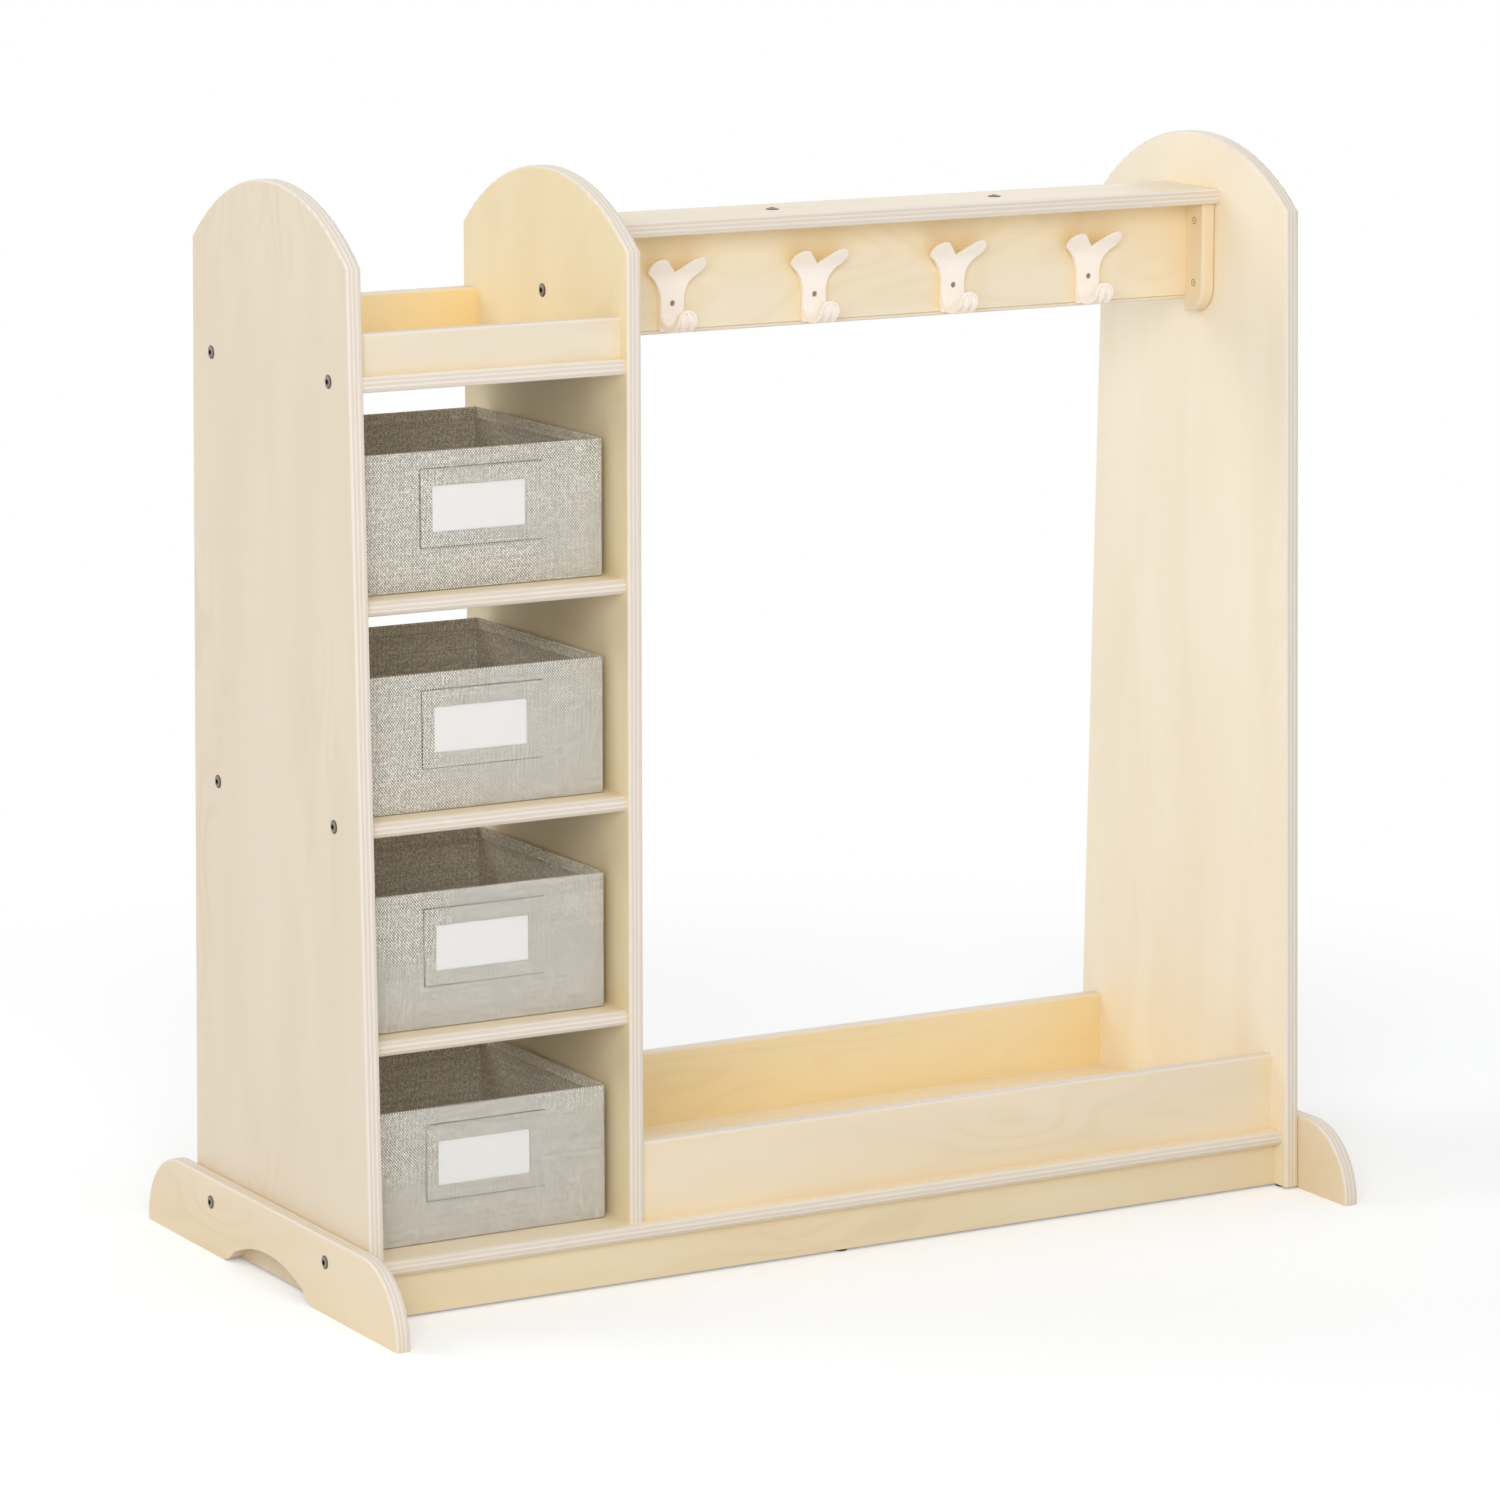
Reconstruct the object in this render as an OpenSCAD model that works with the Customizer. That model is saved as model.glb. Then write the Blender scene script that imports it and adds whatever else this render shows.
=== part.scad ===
// Children's dress-up storage unit: two arched end panels on long feet, a
// column of four fabric bins under a tray, and a hanging bay with a hook rail
// over a trough. A flat mirror is fixed to the outer face of the right panel.
// Frame: X to the right, Y to the back, Z up. The origin is on the floor,
// midway between the end panels and on their upright centre plane.

/* [Overall] */
// Width over the outer faces of the two end panels
unit_width = 1040; // [960:1:1200]
// Height of the arched tops above the floor
unit_height = 1050; // [1030:1:1100]
// Thickness of the plywood
ply = 15; // [13:0.5:18]
// Radius of the rounded plywood edges
edge_round = 3; // [1:0.5:5]

/* [End panels] */
// Depth of an end panel at its shoulders
panel_top_depth = 332; // [320:1:380]
// Depth of an end panel at its lower end
panel_low_depth = 386; // [372:1:430]
// Height of an arched top above its shoulders
crown_rise = 66; // [40:1:90]

/* [Feet] */
// Length of a foot board, front to back
foot_length = 550; // [460:1:640]
// Height of a foot board
foot_height = 75; // [68:1:95]
// Radius of the rounded ends of a foot board
foot_end_radius = 72; // [40:1:90]
// Width of the cut-out under a foot board, at the floor
arch_floor_width = 208; // [190:1:230]
// Width of the cut-out where its round ends meet the arc
arch_waist_width = 154; // [120:1:160]
// Height of the cut-out where its round ends meet the arc
arch_waist_height = 12; // [8:0.5:16]
// Height of the cut-out at its middle
arch_height = 29; // [24:1:34]

/* [Shelves] */
// Clear width of the bin column
column_width = 270.5; // [260:0.5:330]
// Depth of the divider panel
divider_depth = 333; // [326:1:360]
// Depth of the four shelves between the left panel and the divider
shelf_depth = 323; // [290:1:325]
// How far divider and shelves stand forward of the end panels' centre plane
column_forward = 4.75; // [0:0.25:8]
// Radius of the rounded front edges of the base and the bin shelves
nose_round = 7; // [2:0.5:7]
// Radius of the rounded front edge of the tray shelf
tray_nose_round = 4; // [2:0.5:6.5]
// Height of the base shelf's top face
base_top = 58.5; // [52:0.5:66]
// Depth of the base shelf
base_depth = 368; // [362:1:382]
// Distance from the arched tops down to the tray shelf's top face
tray_drop = 165.5; // [160:0.5:230]

/* [Tray and trough] */
// Height of the tray's two rails above its shelf
tray_rail_height = 38; // [25:1:60]
// How far the tray's rails stand in from the shelf's front and back edges
tray_rail_setback = 9; // [4:0.5:20]
// Height of the trough's two rails above the base
trough_rail_height = 76; // [60:1:110]
// How far the trough's front rail stands behind the front edge of the base
trough_front_setback = 20; // [12:0.5:30]
// How far the trough's back rail stands in from the back edge of the base
trough_back_setback = 15.5; // [5:0.5:30]
// How far the kick boards stand in from the edges of the base
apron_setback = 11; // [4:0.5:20]

/* [Hanging rail] */
// Distance from the arched tops down to the top board's underside
rail_drop = 68.5; // [50:0.5:90]
// Height of the hook rail board
rail_height = 98; // [80:1:130]
// How far the hook rail stands forward of the end panels' centre plane
rail_forward = 3; // [0:0.5:8]
// Depth of the top board
top_board_depth = 98; // [86:1:140]
// Depth of the two cleats, in front of the hook rail
cleat_depth = 31; // [30:1:38]
// Height of the two cleats
cleat_height = 110.5; // [90:0.5:150]
// Radius of the cleats' lower front corners
cleat_radius = 27; // [8:1:28]

/* [Hooks] */
// Number of double hooks
hook_count = 4; // [2:1:4]
// Distance from the divider to the first hook's screw
hook_first = 118.5; // [60:0.5:150]
// Distance from one hook to the next
hook_pitch = 157.5; // [90:0.5:170]
// Height of a hook's screw above the rail's lower edge
hook_screw_height = 30; // [29:0.5:40]
// Thickness of a hook's stem and arms
hook_plate = 6.5; // [5.5:0.5:8]
// Half the width of a hook's stem
hook_stem = 12.75; // [11:0.25:14]
// Length of the stem below its screw
stem_drop = 26.5; // [26:0.5:34]
// Height above the screw where the stem's sides begin to flare
flare_start = 3; // [1:0.5:8]
// Height above the screw where the arms begin to curve forwards
bend_start = 14.5; // [8:0.5:16]
// Inside radius of the arms' forward bend
arm_bend = 24; // [20:0.5:34]
// Angle at which the arms lean forwards above their bend
arm_lean = 45; // [35:1:50]
// How much lower the arms' back faces begin to curve, which makes the arms thinner than the stem
arm_thinning = 4; // [2:0.5:5]
// How much further the arms' back faces lean, which thins the arms towards their tips
arm_taper = 3; // [1:1:5]
// Sideways reach of an arm tip's centre
arm_spread = 20.5; // [19:0.5:24]
// Height of an arm tip's centre above the screw
arm_rise = 35.5; // [33:0.5:38]
// Radius of an arm tip
arm_tip = 9.5; // [8:0.5:11.5]
// Height of the notch between the arms above the screw
notch_rise = 30; // [26:0.5:31]
// Inside radius of the small lower hook's seat
seat_radius = 12.5; // [10:0.5:14]
// Half the width of the lower hook's tip
seat_half_width = 10; // [8:0.5:10.5]
// Height of the lower hook's tip above the centre of its seat
seat_tip_rise = 4; // [3:0.5:10]
// Thickness of the lower hook's wall, ribs included
seat_wall = 6; // [5:0.5:7]
// Thickness of the rim and rib on the lower hook's outer side
seat_rib = 2; // [1.5:0.25:3]
// Depth of the two hollows moulded into the lower hook's outer side
seat_hollow = 3.5; // [2:0.25:4]

/* [Bins] */
// Gap between a bin and the column's wall on either side
bin_side_gap = 9; // [7:0.5:20]
// Outer depth of a bin
bin_depth = 256.5; // [230:0.5:280]
// Outer height of a bin
bin_height = 130; // [110:1:160]
// Thickness of a bin's covered walls and floor
bin_wall = 4; // [3:0.5:6]
// Radius of a bin's upright outer corners
bin_corner = 5; // [2:0.5:8]
// How far a bin's front stands behind the shelf's front edge
bin_setback = 27; // [15:0.5:45]
// Thickness of the loose stiffening board in a bin
bin_board = 2.5; // [1.5:0.5:4]

/* [Label pockets] */
// Width of the sewn label pocket
pocket_width = 126; // [112:1:150]
// Height of the sewn label pocket
pocket_height = 74.5; // [60:0.5:90]
// Height of the pocket's lower edge above the bin's underside
pocket_rise = 40; // [15:0.5:44]
// Distance from the bin's left side to the pocket's left edge
pocket_left = 60.5; // [40:0.5:90]
// Width of the pocket's window
window_width = 97; // [80:1:104]
// Height of the pocket's window
window_height = 43; // [30:0.5:50]
// Thickness of the pocket's fabric, folded hems included
pocket_thick = 1.6; // [1.4:0.1:2.5]

/* [Mirror] */
// Width of the mirror sheet
mirror_width = 230; // [150:1:280]
// Height of the mirror sheet
mirror_height = 700; // [400:1:720]
// Height of the mirror's lower edge above the floor
mirror_bottom = 180; // [120:1:190]
// Thickness of the acrylic mirror sheet
mirror_thick = 3; // [2:0.5:5]
// Radius of the mirror's corners
mirror_corner = 12; // [4:1:30]
// Thickness of the adhesive strips behind the mirror
tape_thick = 1; // [0.8:0.1:2]

/* [Fasteners] */
// Distance between the two connector bolts of a joint
bolt_spacing = 252; // [180:1:270]
// Diameter of a connector bolt's shank
bolt_d = 6; // [5:0.5:7]
// Diameter of a connector bolt's head
bolt_head_d = 13; // [11:0.5:17]
// Thickness of a connector bolt's head
bolt_head_h = 1.8; // [1.4:0.1:3]
// Size of the hexagon socket across its corners
bolt_socket = 4.6; // [3:0.1:6]
// Distance from a board's end to the barrel nut in it
nut_inset = 28; // [22:1:32]
// Diameter of a barrel nut
nut_d = 10; // [9:0.5:11]
// Length of a barrel nut
nut_length = 10; // [9:0.5:11]
// Diameter of a wooden dowel
dowel_d = 8; // [6:0.5:9]
// Length of a wooden dowel
dowel_length = 30; // [24:1:34]
// Depth of a dowel in the panel that it enters
dowel_in_panel = 10; // [6:0.5:11]
// Diameter of a cleat screw's shank
cleat_screw_d = 4; // [3:0.5:4.5]
// Diameter of a cleat screw's head
cleat_screw_head_d = 7.5; // [7:0.5:9]
// Height of a cleat's lower screw above the cleat's lower end
cleat_screw_rise = 30; // [18:1:40]
// Distance of a cleat's upper screw from the cleat's upper end
cleat_screw_drop = 18; // [8:1:28]
// Diameter of a hook screw's shank
hook_screw_d = 3; // [2.5:0.5:3.5]
// Diameter of a hook screw's head
hook_screw_head_d = 5; // [4.5:0.5:7]
// Diameter of a floor glide
glide_d = 14; // [10:0.5:15]
// Thickness of a floor glide, the gap under the panels and kick boards
glide_thick = 2.5; // [2:0.5:4]
// Distance from an end panel's lower corner to its glide's centre
glide_inset = 18; // [12:1:40]

/* [Clearances] */
// Gap under a bin, where it slides on its shelf
bin_gap = 0.3; // [0.2:0.1:0.5]
// Gap round a bolt in a board, on the radius
bolt_gap = 0.3; // [0.2:0.05:0.5]
// Gap round nuts, dowels and screws, on the radius
snug_gap = 0.1; // [0.05:0.05:0.2]
// Gap at the ends of dowels and screws in their blind holes
end_gap = 0.5; // [0.3:0.1:1]
// Gap round the loose board in a bin and the card in its pocket
loose_gap = 0.8; // [0.5:0.1:1.5]

/* [Hidden] */
$fn = 64;

birch = "#eadfc2";
birch_edge = "#e2d2ae";
cream = "#ecdfcf";
dark_steel = "#6c665c";
zinc = "#b9bcc0";
beech = "#d8b98a";
linen = "#c4c0b4";
linen_dark = "#aaa698";

over = 1; // how far a cutting solid runs past the face that it cuts

x_left = -unit_width / 2; // outer face of the left panel
x_right = unit_width / 2; // outer face of the right panel
x_column_0 = x_left + ply; // left end of the bin column
x_column_1 = x_column_0 + column_width; // left face of the divider
x_bay_0 = x_column_1 + ply; // right face of the divider
x_bay_1 = x_right - ply; // right end of the hanging bay
column_middle = (x_column_0 + x_column_1) / 2;
bay_middle = (x_bay_0 + x_bay_1) / 2;

y_column = -column_forward; // centre plane of the divider and shelves
y_shelf_front = y_column - shelf_depth / 2;
y_shelf_back = y_column + shelf_depth / 2;
y_base_front = -base_depth / 2;
y_base_back = base_depth / 2;
y_trough_front = y_base_front + trough_front_setback; // front face of the front rail
y_trough_back = y_base_back - trough_back_setback - ply; // front face of the back rail
y_apron_front = y_base_front + apron_setback;
y_apron_back = y_base_back - apron_setback - ply;
y_rail_middle = -rail_forward; // centre plane of the hook rail
y_rail = y_rail_middle - ply / 2; // front face of the hook rail
bolt_y = [-bolt_spacing / 2, bolt_spacing / 2];

shoulder_height = unit_height - crown_rise; // where the arched tops begin
base_middle = base_top - ply / 2;
apron_bottom = glide_thick;
apron_top = base_top - ply;
tray_level = 4; // the tray is the fourth shelf above the base
shelf_pitch = (unit_height - tray_drop - base_top) / tray_level;
rail_top = unit_height - rail_drop; // underside of the top board
rail_bottom = rail_top - rail_height;
rail_middle = rail_top - rail_height / 2;
cleat_bottom = rail_top - cleat_height;
hook_z = rail_bottom + hook_screw_height;

bolt_bore_d = bolt_d + 2 * bolt_gap;
bolt_tip = 8; // how far a bolt runs past its barrel nut
thread_gap = 0.1; // gap on the radius between a bolt and its barrel nut
dowel_spread = [-bolt_spacing / 2, 0, bolt_spacing / 2];

function shelf_top(level) = base_top + level * shelf_pitch;
function bolted(level) = level == 2 || level == tray_level;
function arch_radius(depth) =
    let (rise = unit_height - shoulder_height) (pow(depth / 2, 2) + pow(rise, 2)) / (2 * rise);

// ---------- dowel and bolt places ----------

// A dowel crosses a joint face: [x of the face, +1 or -1 towards the board, y, z]
function board_dowels(x0, x1, ys, zs) =
    [for (y = ys, z = zs, end = [[x0, 1], [x1, -1]]) [end[0], end[1], y, z]];
function shelf_dowels(level) =
    board_dowels(x_column_0, x_column_1, bolted(level) ? [0] : dowel_spread,
                 [shelf_top(level) - ply / 2]);
tray_dowel_z = shelf_top(tray_level) + tray_rail_height / 2;
tray_rail_ys = [y_shelf_front + tray_rail_setback + ply / 2,
                y_shelf_back - tray_rail_setback - ply / 2];
trough_dowel_zs = [base_top + trough_rail_height / 4, base_top + trough_rail_height * 3 / 4];
trough_rail_ys = [y_trough_front + ply / 2, y_trough_back + ply / 2];
apron_ys = [y_apron_front + ply / 2, y_apron_back + ply / 2];
tray_rail_dowels = board_dowels(x_column_0, x_column_1, tray_rail_ys, [tray_dowel_z]);
trough_rail_dowels = board_dowels(x_bay_0, x_bay_1, trough_rail_ys, trough_dowel_zs);
apron_dowels = board_dowels(x_column_0, x_bay_1, apron_ys, [(apron_bottom + apron_top) / 2]);
base_dowels = board_dowels(x_column_0, x_bay_1, [0], [base_middle]);
rail_dowels = board_dowels(x_bay_0, x_bay_1, [y_rail_middle],
                           [rail_middle - rail_height / 3, rail_middle + rail_height / 3]);
top_board_dowels = board_dowels(x_bay_0, x_bay_1, [-top_board_depth / 3, top_board_depth / 3],
                                [rail_top + ply / 2]);
all_dowels = concat([for (level = [1:tray_level]) each shelf_dowels(level)], tray_rail_dowels,
                    trough_rail_dowels, apron_dowels, base_dowels, rail_dowels,
                    top_board_dowels);

// A bolt along X: [x of the face under its head, +1 or -1 inwards, y, z, thickness it clamps]
shelf_bolt_places = [for (level = [2, tray_level], y = bolt_y,
                          end = [[x_left, 1], [x_bay_0, -1]])
                     [end[0], end[1], y, shelf_top(level) - ply / 2, ply]];
foot_bolt_places = [for (y = bolt_y, end = [[x_left - ply, 1], [x_right + ply, -1]])
                    [end[0], end[1], y, base_middle, 2 * ply]];
rail_bolt_places = [[x_column_1, 1, y_rail_middle, rail_middle, ply],
                    [x_right, -1, y_rail_middle, rail_middle, ply]];
top_bolt_xs = [bay_middle - bolt_spacing / 2, bay_middle + bolt_spacing / 2];

// ---------- shared shapes ----------

// Turns a flat outline drawn in Y and Z upright, with its thickness along X
module upright() {
    rotate([90, 0, 90]) children();
}

// A board that runs from x0 to x1, with its section drawn in Y and Z
module board(x0, x1) {
    translate([x0, 0, 0]) upright() linear_extrude(x1 - x0) children();
}

// The sliver outside a rounding arc in the corner at the origin
module corner_gap(r) {
    difference() {
        translate([-over, -over]) square(r + over);
        translate([r, r]) circle(r);
    }
}

// A rectangle whose corners are rounded: lower left, lower right, upper right, upper left
module soft_rectangle(w, h, radii) {
    difference() {
        square([w, h]);
        if (radii[0] > 0) corner_gap(radii[0]);
        if (radii[1] > 0) translate([w, 0]) mirror([1, 0]) corner_gap(radii[1]);
        if (radii[2] > 0) translate([w, h]) rotate(180) corner_gap(radii[2]);
        if (radii[3] > 0) translate([0, h]) mirror([0, 1]) corner_gap(radii[3]);
    }
}

// Rounds both face edges of an upright panel along a straight side, panel on its left
module round_side(p0, p1) {
    run = p1 - p0;
    for (face = [0, 1])
        translate([0, 0, face * ply]) mirror([0, 0, face])
            translate([p0[0], p0[1], 0]) rotate([0, 0, atan2(run[1], run[0])])
                upright() linear_extrude(norm(run)) corner_gap(edge_round);
}

// Rounds both face edges of an upright panel along a convex arc
module round_arc(centre, radius, from, to) {
    for (face = [0, 1])
        translate([0, 0, face * ply]) mirror([0, 0, face])
            translate([centre[0], centre[1], 0]) rotate([0, 0, from])
                rotate_extrude(angle = to - from)
                    translate([radius, 0]) mirror([1, 0]) corner_gap(edge_round);
}

// A panel with straight sides and an arched top, flat on the floor of its own frame
module arched_panel(low_depth, top_depth, bottom) {
    radius = arch_radius(top_depth);
    centre = [0, unit_height - radius];
    half_angle = asin(top_depth / 2 / radius);
    low = low_depth / 2;
    top = top_depth / 2;
    past = 2 * edge_round; // the roundings run past the shoulders and meet in a mitre
    past_top = top - past * (low - top) / (shoulder_height - bottom);
    past_angle = half_angle + past / radius * 180 / PI;
    difference() {
        linear_extrude(ply) intersection() {
            polygon([[-low, bottom], [low, bottom], [top, shoulder_height], [top, unit_height],
                     [-top, unit_height], [-top, shoulder_height]]);
            union() {
                translate(centre) circle(radius, $fn = 180);
                translate([-low, bottom]) square([low_depth, shoulder_height - bottom]);
            }
        }
        round_side([low, bottom], [past_top, shoulder_height + past]);
        round_side([-past_top, shoulder_height + past], [-low, bottom]);
        round_arc(centre, radius, 90 - past_angle, 90 + past_angle);
    }
}

// The bore for a dowel, in the panel and in the board that meets it
module dowel_bores(places) {
    for (p = places)
        translate([p[0] + p[1] * (dowel_length / 2 - dowel_in_panel), p[2], p[3]])
            rotate([0, 90, 0])
                cylinder(d = dowel_d + 2 * snug_gap, h = dowel_length + 2 * end_gap, center = true);
}

// The clearance bore for a bolt along X, from outside its head to past its tip
module bolt_bores(places) {
    for (p = places)
        translate([p[0] - p[1] * over, p[2], p[3]]) rotate([0, 90 * p[1], 0])
            cylinder(d = bolt_bore_d, h = over + p[4] + nut_inset + bolt_tip + end_gap);
}

// The upright bores, from a board's underside, for the barrel nuts of bolts along X
module nut_bores(places) {
    for (p = places)
        translate([p[0] + p[1] * (p[4] + nut_inset), p[2], p[3] - ply / 2 - over])
            cylinder(d = nut_d + 2 * snug_gap, h = over + ply / 2 + nut_length / 2 + end_gap);
}

// ---------- panels and feet ----------

module side_panel(x, joint_x, bolts) {
    difference() {
        translate([x, 0, 0]) upright()
            arched_panel(panel_low_depth, panel_top_depth, glide_thick);
        dowel_bores([for (p = all_dowels) if (p[0] == joint_x) p]);
        bolt_bores(bolts);
        for (y = glide_ys) glide_pin_bore([x + ply / 2, y]);
    }
}

module left_side_panel() {
    color(birch) side_panel(x_left, x_column_0,
        [for (p = concat(shelf_bolt_places, foot_bolt_places)) if (p[0] < x_column_0) p]);
}

module right_side_panel() {
    color(birch) difference() {
        side_panel(x_bay_1, x_bay_1,
            [for (p = concat(rail_bolt_places, foot_bolt_places)) if (p[0] > x_bay_1) p]);
        screw_pilots(x_bay_1, 1);
    }
}

module divider_panel() {
    color(birch) difference() {
        translate([x_column_1, y_column, 0]) upright()
            arched_panel(divider_depth, divider_depth, base_top);
        dowel_bores([for (p = all_dowels) if (p[0] == x_column_1 || p[0] == x_bay_0) p]);
        bolt_bores([for (p = concat(shelf_bolt_places, rail_bolt_places))
                    if (p[0] == x_column_1 || p[0] == x_bay_0) p]);
        screw_pilots(x_bay_0, -1);
        divider_base_bores();
    }
}

// The cut-out under a foot board: a shallow arc with round ends that run into the floor line
module foot_arch() {
    rise = arch_height - arch_waist_height;
    arc = (pow(arch_waist_width / 2, 2) + rise * rise) / (2 * rise);
    floor_y = arch_floor_width / 2;
    waist_y = arch_waist_width / 2;
    run = floor_y - waist_y;
    end_round = (run * run + pow(arch_waist_height, 2)) / (2 * arch_waist_height);
    difference() {
        intersection() {
            polygon([[-floor_y, -over], [floor_y, -over], [floor_y, 0],
                     [waist_y, arch_waist_height], [waist_y, foot_height],
                     [-waist_y, foot_height], [-waist_y, arch_waist_height], [-floor_y, 0]]);
            union() {
                translate([0, arch_height - arc]) circle(arc, $fn = 180);
                translate([-floor_y, -over]) square([2 * floor_y, over + arch_waist_height]);
            }
        }
        for (side = [-1, 1]) translate([side * floor_y, end_round]) circle(end_round, $fn = 96);
    }
}

// A foot board with quarter-round ends
module foot_board(x, bolts) {
    end_y = foot_length / 2 - foot_end_radius;
    end_z = foot_height - foot_end_radius;
    color(birch) difference() {
        translate([x, 0, 0]) upright() difference() {
            linear_extrude(ply) difference() {
                union() {
                    translate([-end_y, 0]) square([2 * end_y, foot_height]);
                    translate([-foot_length / 2, 0]) square([foot_length, end_z]);
                    for (side = [-1, 1]) intersection() {
                        translate([side * end_y, end_z]) circle(foot_end_radius, $fn = 96);
                        translate([-foot_length / 2, 0]) square([foot_length, foot_height]);
                    }
                }
                foot_arch();
            }
            round_arc([end_y, end_z], foot_end_radius, 0, 90);
            round_arc([-end_y, end_z], foot_end_radius, 90, 180);
            round_side([end_y, foot_height], [-end_y, foot_height]);
            round_side([foot_length / 2, -over], [foot_length / 2, end_z]);
            round_side([-foot_length / 2, end_z], [-foot_length / 2, -over]);
        }
        bolt_bores(bolts);
    }
}

module left_foot() {
    foot_board(x_left - ply, [for (p = foot_bolt_places) if (p[0] < 0) p]);
}

module right_foot() {
    foot_board(x_right, [for (p = foot_bolt_places) if (p[0] > 0) p]);
}

// ---------- base ----------

module base_shelf() {
    color(birch) difference() {
        board(x_column_0, x_bay_1) translate([y_base_front, apron_top])
            soft_rectangle(base_depth, ply, [nose_round, edge_round, edge_round, nose_round]);
        dowel_bores(base_dowels);
        bolt_bores(foot_bolt_places);
        nut_bores(foot_bolt_places);
        divider_base_bores();
    }
}

module apron(y) {
    color(birch) difference() {
        board(x_column_0, x_bay_1) translate([y, apron_bottom])
            square([ply, apron_top - apron_bottom]);
        dowel_bores(apron_dowels);
        glide_pin_bore([0, y + ply / 2]);
    }
}

module front_apron() {
    apron(y_apron_front);
}

module rear_apron() {
    apron(y_apron_back);
}

// Bores under the divider: bolts come up through the base, with nuts from its right face
module divider_base_bores() {
    for (y = bolt_y) {
        translate([x_column_1 + ply / 2, y, apron_top - over])
            cylinder(d = bolt_bore_d, h = over + ply + nut_inset + bolt_tip + end_gap);
        translate([x_bay_0 + over, y, base_top + nut_inset]) rotate([0, -90, 0])
            cylinder(d = nut_d + 2 * snug_gap, h = over + ply / 2 + nut_length / 2 + end_gap);
    }
}

// ---------- shelves of the bin column ----------

module column_shelf(level, nose) {
    joint_bolts = [for (p = shelf_bolt_places) if (p[3] == shelf_top(level) - ply / 2) p];
    color(birch) difference() {
        board(x_column_0, x_column_1) translate([y_shelf_front, shelf_top(level) - ply])
            soft_rectangle(shelf_depth, ply, [nose, edge_round, edge_round, nose]);
        dowel_bores(shelf_dowels(level));
        bolt_bores(joint_bolts);
        nut_bores(joint_bolts);
    }
}

module tray_shelf() {
    column_shelf(tray_level, tray_nose_round);
}

module bin_shelf_upper() {
    column_shelf(3, nose_round);
}

module bin_shelf_middle() {
    column_shelf(2, nose_round);
}

module bin_shelf_lower() {
    column_shelf(1, nose_round);
}

// An edge board that stands on a shelf, its upper edges rounded
module standing_rail(x0, x1, y, z, height, dowels) {
    color(birch) difference() {
        board(x0, x1) translate([y, z])
            soft_rectangle(ply, height, [0, 0, edge_round, edge_round]);
        dowel_bores(dowels);
    }
}

module tray_front_rail() {
    standing_rail(x_column_0, x_column_1, y_shelf_front + tray_rail_setback,
                  shelf_top(tray_level), tray_rail_height, tray_rail_dowels);
}

module tray_rear_rail() {
    standing_rail(x_column_0, x_column_1, y_shelf_back - tray_rail_setback - ply,
                  shelf_top(tray_level), tray_rail_height, tray_rail_dowels);
}

module trough_front_rail() {
    standing_rail(x_bay_0, x_bay_1, y_trough_front, base_top, trough_rail_height,
                  trough_rail_dowels);
}

module trough_rear_rail() {
    standing_rail(x_bay_0, x_bay_1, y_trough_back, base_top, trough_rail_height,
                  trough_rail_dowels);
}

// ---------- hanging rail ----------

module top_board() {
    color(birch) difference() {
        board(x_bay_0, x_bay_1) translate([-top_board_depth / 2, rail_top])
            soft_rectangle(top_board_depth, ply, [edge_round, edge_round, edge_round, edge_round]);
        dowel_bores(top_board_dowels);
        top_bolt_bores();
    }
}

module hook_rail() {
    color(birch) difference() {
        board(x_bay_0, x_bay_1) translate([y_rail, rail_bottom])
            soft_rectangle(ply, rail_height, [edge_round, edge_round, 0, 0]);
        dowel_bores(rail_dowels);
        bolt_bores(rail_bolt_places);
        top_bolt_bores();
        for (p = rail_bolt_places)
            nut_bore_from_back([p[0] + p[1] * (ply + nut_inset), p[3]]);
        for (x = top_bolt_xs) nut_bore_from_back([x, rail_top - nut_inset]);
        for (i = [0:hook_count - 1])
            translate([hook_x(i), y_rail - over, hook_z]) rotate([-90, 0, 0])
                cylinder(d = hook_screw_d + 2 * snug_gap, h = over + hook_screw_bite + end_gap);
    }
}

// The bore from the rail's back face for a barrel nut at [x, z]
module nut_bore_from_back(place) {
    translate([place[0], y_rail_middle - nut_length / 2 - end_gap, place[1]])
        rotate([-90, 0, 0])
        cylinder(d = nut_d + 2 * snug_gap, h = ply / 2 + nut_length / 2 + end_gap + over);
}

module top_bolt_bores() {
    for (x = top_bolt_xs) {
        depth = ply + nut_inset + bolt_tip + end_gap;
        translate([x, y_rail_middle, rail_top + ply - depth])
            cylinder(d = bolt_bore_d, h = depth + over);
    }
}

cleat_screw_y = y_rail - cleat_depth / 2;
cleat_screw_zs = [cleat_bottom + cleat_screw_rise, rail_top - cleat_screw_drop];
cleat_screw_bite = ply - 4; // how far a cleat screw runs into its panel

// A cleat at the hook rail's end, its lower front corner rounded to cleat_radius
module cleat(x, towards_panel) {
    front = y_rail - cleat_depth;
    corner = [front + cleat_radius, cleat_bottom + cleat_radius];
    color(birch_edge) difference() {
        translate([x, 0, 0]) upright() difference() {
            linear_extrude(ply) translate([front, cleat_bottom])
                soft_rectangle(cleat_depth, cleat_height, [cleat_radius, 0, 0, 0]);
            round_side([front, rail_top], [front, corner[1]]);
            round_arc(corner, cleat_radius, 180, 270);
        }
        for (z = cleat_screw_zs)
            translate([towards_panel > 0 ? x : x + ply, cleat_screw_y, z])
                rotate([0, 90 * towards_panel, 0]) screw_clearance(ply);
    }
}

module left_cleat() {
    cleat(x_bay_0, -1);
}

module right_cleat() {
    cleat(x_bay_1 - ply, 1);
}

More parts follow.
